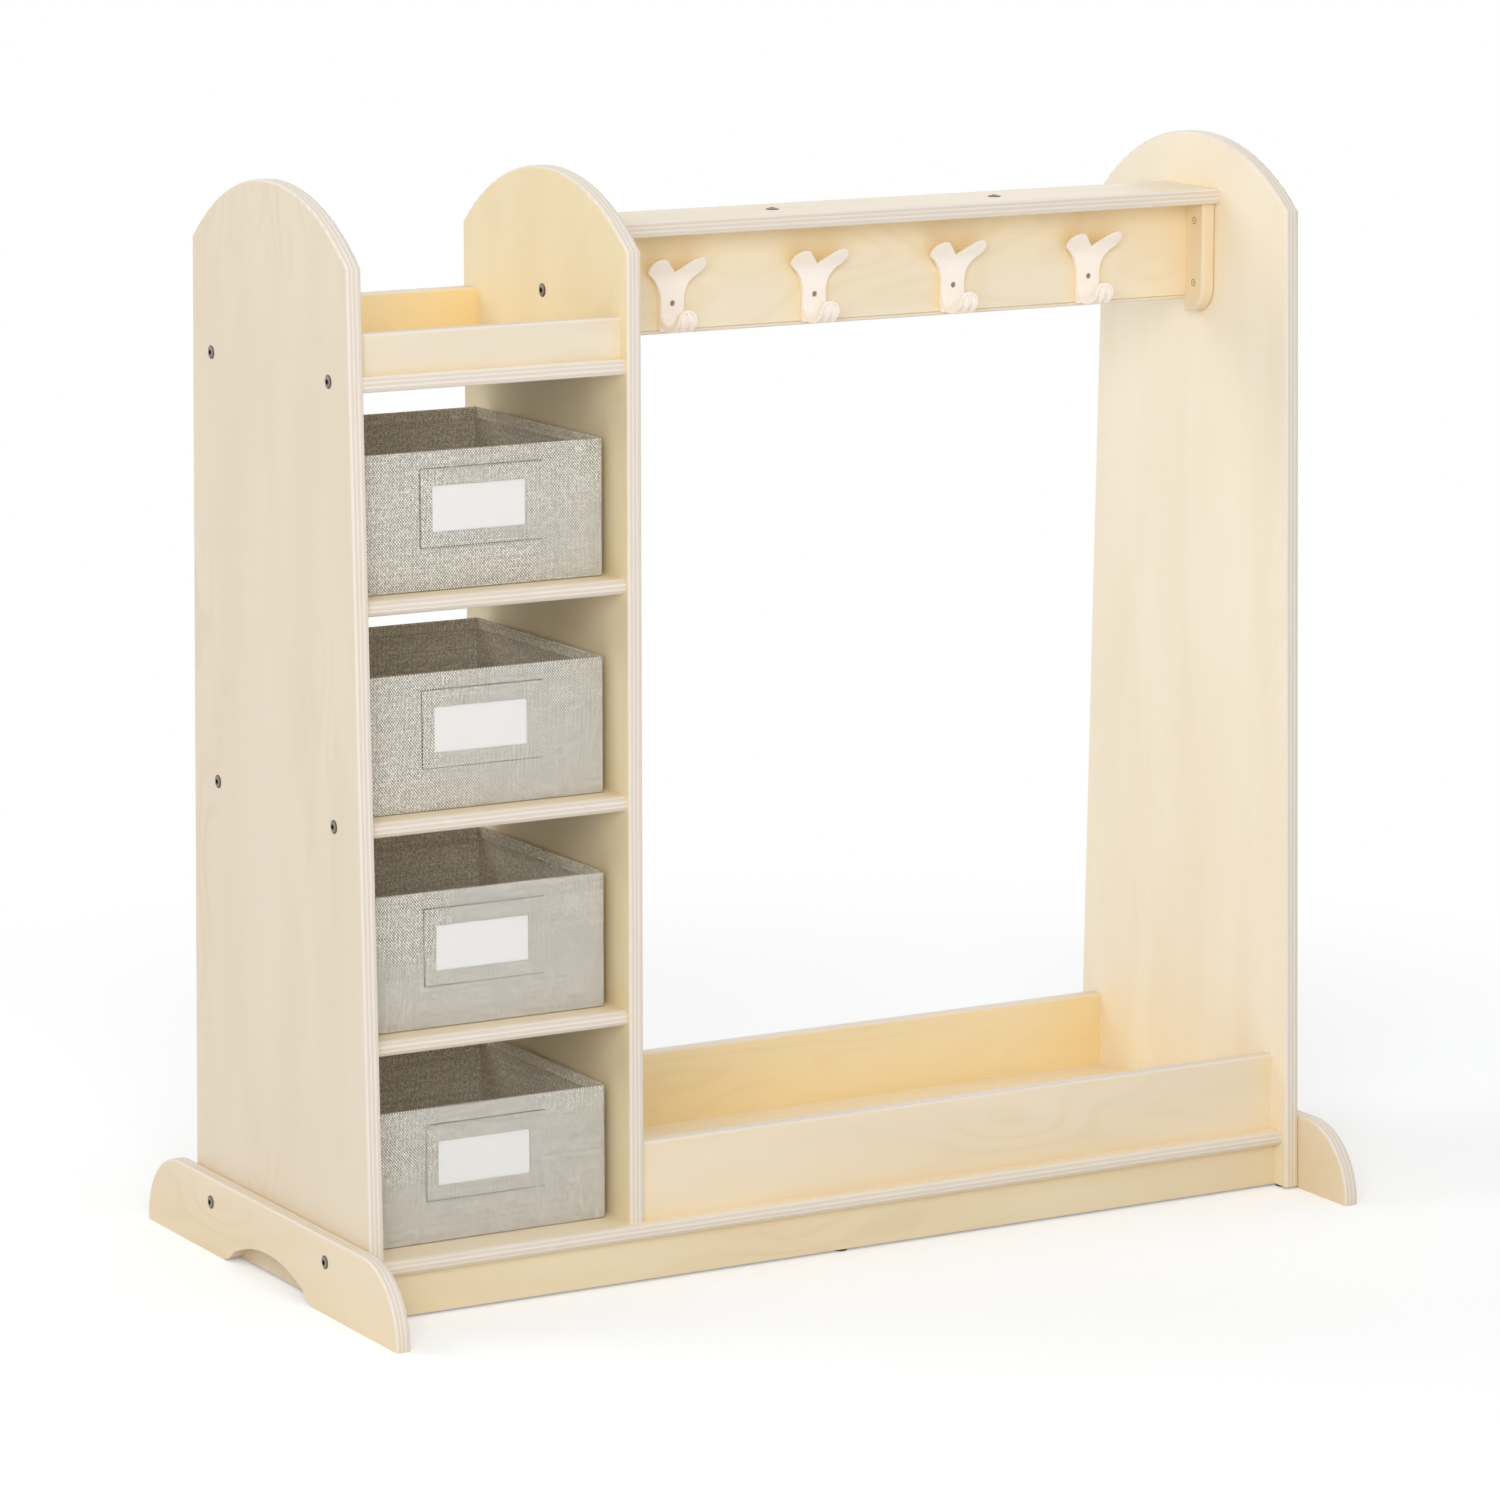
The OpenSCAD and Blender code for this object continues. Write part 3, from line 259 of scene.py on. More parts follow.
@dataclass(frozen=True)
class PlyLayers:
    """Plywood's colour from the depth in a board: faces, crossed layers and glue lines."""

    layers: float = 7.0
    figure_step: Pair = (0.25, 0.75)
    flame_share: float = 0.13
    pore_share: float = 0.08
    waver_waves: Pair = (0.012, 0.012)
    waver_plane: float = 0.5
    waver_layers: float = 0.15
    crossed_step: Pair = (0.22, -0.22)
    fibre_waves: Triple = (0.02, 0.02, 2.2)
    fibre_step: Pair = (0.35, 0.8)
    fibre_share: float = 0.35
    speck_waves: Triple = (1.6, 1.6, 1.6)
    speck_step: Pair = (0.3, 0.75)
    speck_share: float = 0.3
    glue_line_step: Pair = (0.20, 0.03)
    glue_waves: Triple = (0.03, 0.03, 0.9)
    glue_step: Pair = (0.30, 0.62)
    glue_share: float = 0.62
    face_step_mm: Pair = (0.55, 0.04)

    def build(self) -> None:
        """Builds the group, which reads millimetres along, across and through a board."""
        graph, take, give = SharedEffect(
            "ply layers", ("Along", "Across", "Through", "Thickness"),
            ("Face", "Face Figure", "Edge Pale", "Edge Dark"),
            {"Color": COLOUR, "Height": FLOAT}).start()
        through, thickness = take["Through"], take["Thickness"]
        places = [take["Along"], take["Across"], through]
        pale_tone, dark_tone = take["Edge Pale"], take["Edge Dark"]

        grain = graph.place("birch figure", {"Along": places[0], "Across": places[1],
                                             "Depth": 0.0}).outputs
        face = graph.mix(graph.step(grain["Figure"], *self.figure_step), take["Face"],
                         take["Face Figure"])
        face = graph.mix(graph.times(grain["Flame"], self.flame_share), face,
                         take["Face Figure"], "MULTIPLY")
        face = graph.mix(graph.times(grain["Pores"], self.pore_share), face, dark_tone)

        waver = graph.noise(places[:2], self.waver_waves, plane=self.waver_plane)
        depth = graph.math("DIVIDE", through, thickness)
        layer = graph.math("ADD", graph.times(depth, self.layers),
                           graph.between(waver, -self.waver_layers, self.waver_layers))
        wave = graph.math("SINE", graph.times(layer, math.pi))
        crossed = graph.step(wave, *self.crossed_step)
        fibre = graph.noise(places, self.fibre_waves, detail=3.0, rough=0.6)
        straight = graph.mix(graph.times(graph.step(fibre, *self.fibre_step), self.fibre_share),
                             pale_tone, dark_tone)
        speck = graph.noise(places, self.speck_waves, detail=1.0)
        end_grain = graph.mix(graph.times(graph.step(speck, *self.speck_step), self.speck_share),
                              dark_tone, pale_tone)
        edge = graph.mix(crossed, straight, end_grain)
        glue = graph.times(graph.step(graph.math("ABSOLUTE", wave), *self.glue_line_step),
                           graph.step(graph.noise(places, self.glue_waves), *self.glue_step))
        edge = graph.mix(graph.times(glue, self.glue_share), edge, dark_tone, "MULTIPLY")

        skin = graph.math("MINIMUM", through, graph.math("SUBTRACT", thickness, through))
        on_face = graph.step(skin, *self.face_step_mm)
        relief = graph.mix(on_face, graph.mix(crossed, WHITE, fibre),
                           graph.math("SUBTRACT", 1.0, grain["Pores"]))
        graph.fill(give, {"Color": graph.mix(on_face, edge, face), "Height": relief})


@dataclass(frozen=True)
class LinenWeave:
    """A plain weave of pale upright threads over darker ones, uneven as linen is."""

    sway_waves: Pair = (0.018, 0.018)
    sway_threads: float = 0.7
    crossing: float = 0.12
    roundness: float = 0.6
    thread_share: float = 0.45
    slub_waves: Pair = (0.73, 0.06)
    slub_tones: Pair = (-0.25, 0.65)
    warp_seed: float = 0.37
    weft_seed: float = 5.71
    valley_step: Pair = (0.74, 0.25)
    gap_depths: Pair = (0.18, 1.88)
    dash_waves: Pair = (0.95, 0.28)
    dash_step: Pair = (0.30, 0.70)
    dash_depths: Pair = (0.25, 1.95)

    def thread_tone(self, graph: Graph, index: Socket, length: Socket, seed: float) -> Socket:
        """Gives each thread its own lightness, which drifts along its length.

        Args:
            graph: the group's graph.
            index: which thread it is, with the place across it as fraction.
            length: the place along it.
            seed: sets warp and weft apart.

        Returns:
            How much of the thread's shade shows, from 0 to 1.
        """
        number = graph.math("FLOOR", index)
        own = graph.node("ShaderNodeTexWhiteNoise", {1: graph.math("ADD", number, seed)},
                         noise_dimensions="1D").outputs["Value"]
        slub = graph.noise((number, length), self.slub_waves, plane=seed)
        return graph.math("ADD", graph.times(own, self.thread_share),
                          graph.between(slub, *self.slub_tones), clamp=True)

    def build(self) -> None:
        """Builds the group, which reads millimetres on the cloth and the threads' pitch."""
        graph, take, give = SharedEffect(
            "linen weave", ("U", "V", "Pitch U", "Pitch V"),
            ("Warp", "Warp Shade", "Weft", "Weft Shade", "Gap"),
            {"Color": COLOUR, "Height": FLOAT}).start()
        place = (take["U"], take["V"])
        sway = graph.between(graph.noise(place, self.sway_waves, detail=1.0),
                             -self.sway_threads, self.sway_threads)
        column, row = (graph.math("ADD", graph.math("DIVIDE", part, pitch), sway)
                       for part, pitch in zip(place, (take["Pitch U"], take["Pitch V"])))
        waves = [graph.math("SINE", graph.times(index, math.pi)) for index in (column, row)]
        over = graph.step(graph.times(*waves), -self.crossing, self.crossing)
        round_u, round_v = (graph.math("POWER", graph.math("ABSOLUTE", wave), self.roundness)
                            for wave in waves)
        warp = graph.mix(self.thread_tone(graph, column, take["V"], self.warp_seed),
                         take["Warp"], take["Warp Shade"])
        weft = graph.mix(self.thread_tone(graph, row, take["U"], self.weft_seed),
                         take["Weft"], take["Weft Shade"])
        crown = graph.mix(over, graph.times(round_v, round_u), round_u)
        valley = graph.step(crown, *self.valley_step)
        cell = graph.vector(graph.math("FLOOR", column), graph.math("FLOOR", row))
        looseness = graph.node("ShaderNodeTexWhiteNoise", {0: cell},
                               noise_dimensions="2D").outputs["Value"]
        dashes = graph.step(graph.noise(place, self.dash_waves, detail=1.0), *self.dash_step)
        depth = graph.math("MULTIPLY",
                           graph.times(valley, graph.between(looseness, *self.gap_depths)),
                           graph.between(dashes, *self.dash_depths), clamp=True)
        graph.fill(give, {"Color": graph.mix(depth, graph.mix(over, weft, warp), take["Gap"]),
                          "Height": crown})


# ---------- finishes ----------


# painted shade: how far and how finely the wood's sheltered corners are found, and the warm tint
# that darkens them
PAINTED_SHADE_REACH = 0.11
PAINTED_SHADE_SAMPLES = 8
PAINTED_SHADE_TINT = rgb(255, 231, 168)
LACQUER_SPECULAR = 0.35


def new_material(name: str) -> tuple[Finish, Graph, Node]:
    """Starts a material, and gives it with its graph and its Principled shader."""
    made = bpy.data.materials.new(name)
    made.use_nodes = True
    return made, Graph(made.node_tree), made.node_tree.nodes["Principled BSDF"]


def object_parts(graph: Graph) -> list[Socket]:
    """Gives the three object coordinates in millimetres."""
    here = graph.node("ShaderNodeTexCoord").outputs["Object"]
    split = graph.node("ShaderNodeSeparateXYZ", {0: here})
    return [graph.times(socket, 1 / MM) for socket in split.outputs]


def bump(graph: Graph, shader: Node, height: Socket, depth: float, strength: float) -> None:
    """Gives a shader a relief: height runs from 0 to 1 and depth is in metres."""
    made = graph.node("ShaderNodeBump", {"Height": height, "Distance": depth,
                                         "Strength": strength})
    graph.fill(shader, {"Normal": made.outputs[0]})


def painted_corner_shade(graph: Graph, tone: Socket, share: float) -> Socket:
    """Paints shade into a wood's colour where it is sheltered: a warm darkening, by the share in a
    closed corner.
    """
    sky = graph.node("ShaderNodeAmbientOcclusion", {"Distance": PAINTED_SHADE_REACH},
                     samples=PAINTED_SHADE_SAMPLES)
    painted_shade = graph.math("SUBTRACT", 1.0, sky.outputs["AO"])
    return graph.mix(graph.times(painted_shade, share), tone, PAINTED_SHADE_TINT, "MULTIPLY")


@dataclass(frozen=True)
class PlyFinish:
    """Clear-coated birch plywood for one board, with a rounded lower edge where one is named."""

    board: str
    grain: Axis
    through: Axis
    veneer_and_painted_light: VeneerAndPaintedLight
    painted_shade: float = 0.35
    eased_mm: float = 0.0
    eased_share: float = 0.7
    rim_step_mm: Pair = (0.9, 0.2)
    rim_share: float = 0.95
    edge_pale: Colour = rgb(232, 223, 211)
    edge_dark: Colour = rgb(218, 206, 192)
    shifts: int = 97
    shift_mm: Pair = (31.0, 17.0)
    gloss_waves: Pair = (0.01, 0.08)
    roughness: Pair = (0.40, 0.52)
    relief: float = 0.00006

    def material(self) -> Finish:
        """Builds the board's own plywood, laid from its low face.

        Returns:
            The material.
        """
        made, graph, shader = new_material(f"plywood {self.board}")
        low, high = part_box(self.board)
        axis = self.through.value
        across = ({0, 1, 2} - {axis, self.grain.value}).pop()
        place = object_parts(graph)
        shift = sum(map(ord, self.board)) % self.shifts
        along = graph.math("ADD", place[self.grain.value], shift * self.shift_mm[0])
        side = graph.math("ADD", place[across], shift * self.shift_mm[1])
        layers = graph.place("ply layers", {
            "Along": along, "Across": side,
            "Through": graph.math("SUBTRACT", place[axis], low[axis] / MM),
            "Thickness": (high[axis] - low[axis]) / MM,
            "Face": self.veneer_and_painted_light.value[0], "Face Figure": self.veneer_and_painted_light.value[1],
            "Edge Pale": self.edge_pale, "Edge Dark": self.edge_dark})
        tone = layers.outputs["Color"]
        if self.eased_mm:
            rise = graph.math("SUBTRACT", place[across], low[across] / MM)
            band = graph.step(rise, self.eased_mm, 0.0)
            off = graph.math("ABSOLUTE", graph.math("SUBTRACT", rise, self.eased_mm))
            rim = graph.step(off, *self.rim_step_mm)
            tone = graph.mix(graph.times(band, self.eased_share), tone, self.edge_pale)
            tone = graph.mix(graph.times(rim, self.rim_share), tone, self.edge_dark, "MULTIPLY")
        gloss = graph.noise((along, side), self.gloss_waves)
        # the base colour carries painted shade in the board's sheltered corners
        graph.fill(shader, {"Base Color": painted_corner_shade(graph, tone, self.painted_shade),
                            "Roughness": graph.between(gloss, *self.roughness),
                            "Specular IOR Level": LACQUER_SPECULAR})
        bump(graph, shader, layers.outputs["Height"], self.relief, 0.5)
        return made


@dataclass(frozen=True)
class SolidBirchFinish:
    """Solid wood, clear coated, without layers."""

    name: str
    base: Colour
    figure: Colour
    grain: Axis = Axis.Z
    pore_share: float = 0.3
    painted_shade: float = 0.3
    roughness: Pair = (0.38, 0.53)
    relief: float = 0.00005

    def material(self) -> Finish:
        """Builds the wood.

        Returns:
            The material.
        """
        made, graph, shader = new_material(self.name)
        place = object_parts(graph)
        along = place.pop(self.grain.value)
        grain = graph.place("birch figure", {"Along": along, "Across": place[0],
                                             "Depth": place[1]}).outputs
        tone = graph.mix(grain["Figure"], self.base, self.figure)
        tone = graph.mix(graph.times(grain["Pores"], self.pore_share), tone, self.figure)
        # the base colour carries painted shade in the wood's sheltered corners
        graph.fill(shader, {"Base Color": painted_corner_shade(graph, tone, self.painted_shade),
                            "Roughness": graph.between(grain["Figure"], *self.roughness),
                            "Specular IOR Level": LACQUER_SPECULAR})
        bump(graph, shader, graph.math("SUBTRACT", 1.0, grain["Pores"]), self.relief, 0.5)
        return made


@dataclass(frozen=True)
class LinenFinish:
    """The bins' linen-look cloth, woven on the piece's own UV map in millimetres."""

    name: str
    pitch_u_mm: float = 1.38
    pitch_v_mm: float = 1.65
    warp: Colour = rgb(255, 252, 245)
    warp_shade: Colour = rgb(240, 236, 226)
    weft: Colour = rgb(230, 224, 209)
    weft_shade: Colour = rgb(148, 141, 126)
    gap_and_crease_shade: Colour = rgb(42, 36, 27)
    # painted light: the lighter, warmer tone of the inner faces, which stands in for light bounced
    # into the bin
    painted_bounce_tone: Colour = rgb(255, 244, 222)
    painted_bounce_bright: float = 0.30
    painted_bounce_contrast: float = 0.5
    roughness: Pair = (0.95, 0.83)
    relief: float = 0.00035

    def material(self) -> Finish:
        """Builds the cloth, with painted light that makes it lighter inside a bin and painted shade
        that makes it dark in a crease.

        Returns:
            The material.
        """
        made, graph, shader = new_material(self.name)
        here = graph.node("ShaderNodeUVMap", uv_map="weave").outputs[0]
        split = graph.node("ShaderNodeSeparateXYZ", {0: here})
        weave = graph.place("linen weave", {
            "U": split.outputs[0], "V": split.outputs[1],
            "Pitch U": self.pitch_u_mm, "Pitch V": self.pitch_v_mm,
            "Warp": self.warp, "Warp Shade": self.warp_shade,
            "Weft": self.weft, "Weft Shade": self.weft_shade, "Gap": self.gap_and_crease_shade}).outputs
        inside, crease_shade = (graph.node("ShaderNodeAttribute", attribute_name=name).outputs["Fac"]
                          for name in ("inside", "crease_shade"))
        # painted light: the faces marked inside are made lighter and warmer, as bounced light would
        # make them
        painted_bounce = graph.node("ShaderNodeBrightContrast", {
            "Color": weave["Color"], "Bright": self.painted_bounce_bright,
            "Contrast": self.painted_bounce_contrast}).outputs[0]
        painted_bounce = graph.mix(1.0, painted_bounce, self.painted_bounce_tone, "DARKEN")
        cloth = graph.mix(inside, weave["Color"], painted_bounce)
        # painted shade: the crease attribute darkens the cloth to the weave's gap colour round the
        # label pockets
        graph.fill(shader, {"Base Color": graph.mix(crease_shade, cloth, self.gap_and_crease_shade),
                            "Roughness": graph.between(weave["Height"], *self.roughness),
                            "Specular IOR Level": 0.2, "Sheen Weight": 0.15,
                            "Sheen Roughness": 0.5})
        bump(graph, shader, weave["Height"], self.relief, 0.8)
        return made


@dataclass(frozen=True)
class PlainFinish:
    """A smooth finish with a faint mottle in its colour and gloss."""

    name: str
    light: Colour
    dark: Colour
    roughness: float
    specular: float = 0.5
    metallic: float = 0.0
    grain_mm: float = 6.0
    relief: float = 0.00002
    alpha: float = 1.0
    gloss_spread: float = 0.04

    def material(self) -> Finish:
        """Builds the finish.

        Returns:
            The material.
        """
        made, graph, shader = new_material(self.name)
        place = object_parts(graph)
        mottle = graph.noise(place, [1 / self.grain_mm] * 3, detail=3.0, rough=0.6)
        graph.fill(shader, {
            "Base Color": graph.mix(mottle, self.light, self.dark),
            "Roughness": graph.between(mottle, self.roughness - self.gloss_spread,
                                       self.roughness + self.gloss_spread),
            "Specular IOR Level": self.specular, "Metallic": self.metallic,
            "Alpha": self.alpha})
        bump(graph, shader, graph.noise(place, [3 / self.grain_mm] * 3), self.relief, 0.4)
        return made


@dataclass(frozen=True)
class BoltFinish:
    """Bolt or screw heads, turned in rings round each head's centre, with painted shade for the
    recess at each centre and round each head's edge.
    """

    name: str
    across: tuple[Axis, Axis]
    centre_mm: Pair
    spacing_mm: Pair
    metal: Colour = rgb(134, 129, 117)
    dark: Colour = rgb(84, 79, 70)
    socket: Colour = rgb(22, 20, 18)
    rim_shade_mm: Pair = (4.6, 6.2)
    recess_shade_mm: Pair = (3.1, 2.2)
    metallic: float = 0.55
    ring_turns: float = 14.0
    mottle_waves: Triple = (0.5, 0.5, 0.5)
    roughness: Pair = (0.34, 0.49)
    relief: float = 0.00003

    def material(self) -> Finish:
        """Builds the heads' metal or paint.

        Returns:
            The material.
        """
        made, graph, shader = new_material(self.name)
        place = object_parts(graph)
        squares = []
        for axis, centre, spacing in zip(self.across, self.centre_mm, self.spacing_mm):
            offset = graph.math("SUBTRACT", place[axis.value], centre)
            if spacing:
                offset = graph.math("WRAP", offset, spacing / 2, -spacing / 2)
            squares.append(graph.math("POWER", offset, 2.0))
        radius = graph.math("SQRT", graph.math("ADD", *squares))
        rings = graph.math("SINE", graph.times(radius, self.ring_turns))
        # painted shade: the dark colour outside the rim radius and the socket colour inside the
        # recess radius stand in for shade round the head's edge and in its recess
        tone = graph.mix(graph.step(radius, *self.rim_shade_mm), self.metal, self.dark)
        tone = graph.mix(graph.step(radius, *self.recess_shade_mm), tone, self.socket)
        mottle = graph.noise(place, self.mottle_waves, detail=3.0)
        graph.fill(shader, {"Base Color": tone, "Metallic": self.metallic,
                            "Roughness": graph.between(mottle, *self.roughness)})
        bump(graph, shader, rings, self.relief, 0.4)
        return made


@dataclass(frozen=True)
class MirrorFinish:
    """Silvered acrylic sheet with a few faint wipe marks."""

    name: str = "mirror face"
    silver: Colour = rgb(236, 240, 240)
    marks: Colour = rgb(226, 231, 232)
    wipe_waves: Triple = (0.0, 0.01, 0.03)
    roughness: Pair = (0.01, 0.04)

    def material(self) -> Finish:
        """Builds the mirror.

        Returns:
            The material.
        """
        made, graph, shader = new_material(self.name)
        wipe = graph.noise(object_parts(graph), self.wipe_waves, detail=4.0)
        graph.fill(shader, {"Base Color": graph.mix(wipe, self.silver, self.marks),
                            "Roughness": graph.between(wipe, *self.roughness),
                            "Metallic": 1.0})
        return made


# ---------- pieces ----------


def dress(node: str, finish: Finish) -> None:
    """Gives a CAD node its material."""
    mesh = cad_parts[node].data
    mesh.materials.clear()
    mesh.materials.append(finish)
    log.info("%s wears %s", node, finish.name)


def new_piece(name: str, mesh: Mesh, finish: Finish, body: str) -> Piece:
    """Makes an object of a mesh and lets it ride on a body.

    Args:
        name: the piece's name.
        mesh: its mesh, in place.
        finish: its material.
        body: the body that carries it.

    Returns:
        The new object.
    """
    mesh.materials.clear()
    mesh.materials.append(finish)
    made = bpy.data.objects.new(name, mesh)
    bpy.context.scene.collection.objects.link(made)
    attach(made, body)
    log.info("%s: %d faces, on %s", name, len(mesh.polygons), body)
    return made


def finished_mesh(name: str, bm: BMesh, sharp_degrees: float = 40.0) -> Mesh:
    """Turns a bmesh into a smooth mesh with its sharp edges marked.

    Args:
        name: the mesh's name.
        bm: the bmesh, which is freed.
        sharp_degrees: the angle from which an edge stays sharp.

    Returns:
        The mesh.
    """
    mesh = bpy.data.meshes.new(name)
    bm.to_mesh(mesh)
    bm.free()
    mesh.shade_smooth()
    mesh.set_sharp_from_angle(angle=math.radians(sharp_degrees))
    return mesh


def round_off(bm: BMesh, edges: list, offset: float, segments: int) -> None:
    """Rounds edges off as far as offset says, with that many faces across."""
    bmesh.ops.bevel(bm, geom=edges, offset=offset, segments=segments, profile=0.5,
                    affect="EDGES", material=-1)


def cut_across(bm: BMesh, axis: Axis, places: list[float]) -> None:
    """Cuts every face along planes at right angles to an axis.

    Args:
        bm: the bmesh.
        axis: the planes' normal.
        places: where the planes stand on that axis.
    """
    normal = Vector((0, 0, 0))
    normal[axis.value] = 1
    for place in places:
        bmesh.ops.bisect_plane(bm, geom=bm.verts[:] + bm.edges[:] + bm.faces[:], dist=EXACT,
                               plane_co=normal * place, plane_no=normal)


def evenly(low: float, high: float, count: int) -> list[float]:
    """Gives count places between low and high, without the ends."""
    return [low + (high - low) * (i + 1) / (count + 1) for i in range(count)]


def lay_weave(bm: BMesh, shift_mm: Pair, number: int) -> None:
    """Writes the UV map that the cloth is woven on, in millimetres, from each face's side.

    Args:
        bm: the bmesh.
        shift_mm: how far the cloth is moved from one bin to the next.
        number: the bin's number.
    """
    layer = bm.loops.layers.uv.new("weave")
    for face in bm.faces:
        sides = [abs(part) for part in face.normal]
        side = sides.index(max(sides))
        u, v = ((1, 2), (0, 2), (0, 1))[side]
        for loop in face.loops:
            place = loop.vert.co / MM
            loop[layer].uv = (place[u] + shift_mm[0] * number, place[v] + shift_mm[1] * number)


@dataclass
class LabelPocket:
    """The sewn cloth frame on a bin's front, open at its right side."""

    number: int
    cloth: Finish
    overlap: float = 0.005
    cloth_thick: float = 0.0006
    cuts_in: tuple[float, ...] = (0.0006, 0.0014, 0.0026, 0.0034, 0.0042, 0.0056)
    cuts_across: int = 13
    turned_edge: float = 0.0014
    seam_in: float = 0.0034
    seam_rise: float = 0.00012
    sway: float = 0.00012
    sway_noise: float = 45.0
    # painted shade: the width, strength and patchiness of the dark line in the crease round the
    # pocket's sewn edges
    crease_shade: float = 0.0013
    crease_shade_share: float = 0.60
    crease_shade_patchiness: float = 0.48
    crease_shade_noise: float = 70.0
    opening_sway: float = 0.0004
    opening_noise: float = 30.0
    shift_mm: Pair = (23.1, 5.3)

    def crease_shade_depth(self, vert: bmesh.types.BMVert, inside: float) -> float:
        """Gives how dark the painted shade in the crease round the pocket is at a point: it comes
        and goes.

        Args:
            vert: the point.
            inside: how far inside the pocket's sewn edges it is.

        Returns:
            The darkness from 0 to 1.
        """
        patchy = noise.noise(vert.co * self.crease_shade_noise + Vector((self.number * 5, 0, 0)))
        share = min(1.0, self.crease_shade_share + self.crease_shade_patchiness * patchy)
        return max(0.0, 1 - inside / self.crease_shade) * share

    def build(self) -> Piece:
        """Builds the pocket.

        Returns:
            The finished piece.
        """
        body = f"bin_{self.number}"
        low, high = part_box(f"{body}_label_pocket")
        window_low, window_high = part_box(f"{body}_label_window")
        columns = (low.x, window_low.x + self.overlap, window_high.x - self.overlap, high.x)
        rows = (low.z, window_low.z + self.overlap, window_high.z - self.overlap, high.z)
        bm = bmesh.new()
        half = 1.5
        bmesh.ops.create_grid(bm, x_segments=3, y_segments=3, size=half)
        for vert in bm.verts:
            vert.co = (columns[round(vert.co.x + half)], low.y, rows[round(vert.co.y + half)])
        middle = [face for face in bm.faces
                  if columns[1] < face.calc_center_median().x < columns[2]
                  and rows[1] < face.calc_center_median().z < rows[2]]
        bmesh.ops.delete(bm, geom=middle, context="FACES")
        cut_across(bm, Axis.X, [low.x + cut for cut in self.cuts_in]
                   + evenly(columns[1], high.x, self.cuts_across))
        cut_across(bm, Axis.Z, [low.z + cut for cut in self.cuts_in]
                   + [high.z - cut for cut in self.cuts_in])
        bm.verts.layers.float.new("inside")
        crease_shade = bm.verts.layers.float.new("crease_shade")
        for vert in bm.verts:
            inside = min(vert.co.x - low.x, vert.co.z - low.z, high.z - vert.co.z)
            turned = max(0.0, 1 - inside / self.turned_edge) ** 2
            seam = self.seam_rise if abs(inside - self.seam_in) < CLOSE else 0.0
            ripple = noise.noise(vert.co * self.sway_noise + Vector((0, self.number * 3, 0)))
            vert.co.y += turned * (high.y - low.y - self.cloth_thick) + seam + self.sway * ripple
            vert[crease_shade] = self.crease_shade_depth(vert, inside)
            if columns[1] - EXACT < vert.co.x < columns[2] + EXACT and \
                    rows[1] - EXACT < vert.co.z < rows[2] + EXACT:
                vert.co.z += self.opening_sway * noise.noise(vert.co * self.opening_noise)
        for face in bm.faces:
            if face.normal.y > 0:
                face.normal_flip()
        bmesh.ops.solidify(bm, geom=bm.faces[:], thickness=self.cloth_thick)
        lay_weave(bm, self.shift_mm, self.number)
        made = new_piece(f"{body}_cloth_pocket", finished_mesh("cloth pocket", bm),
                         self.cloth, body)
        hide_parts(f"{body}_label_pocket")
        return made


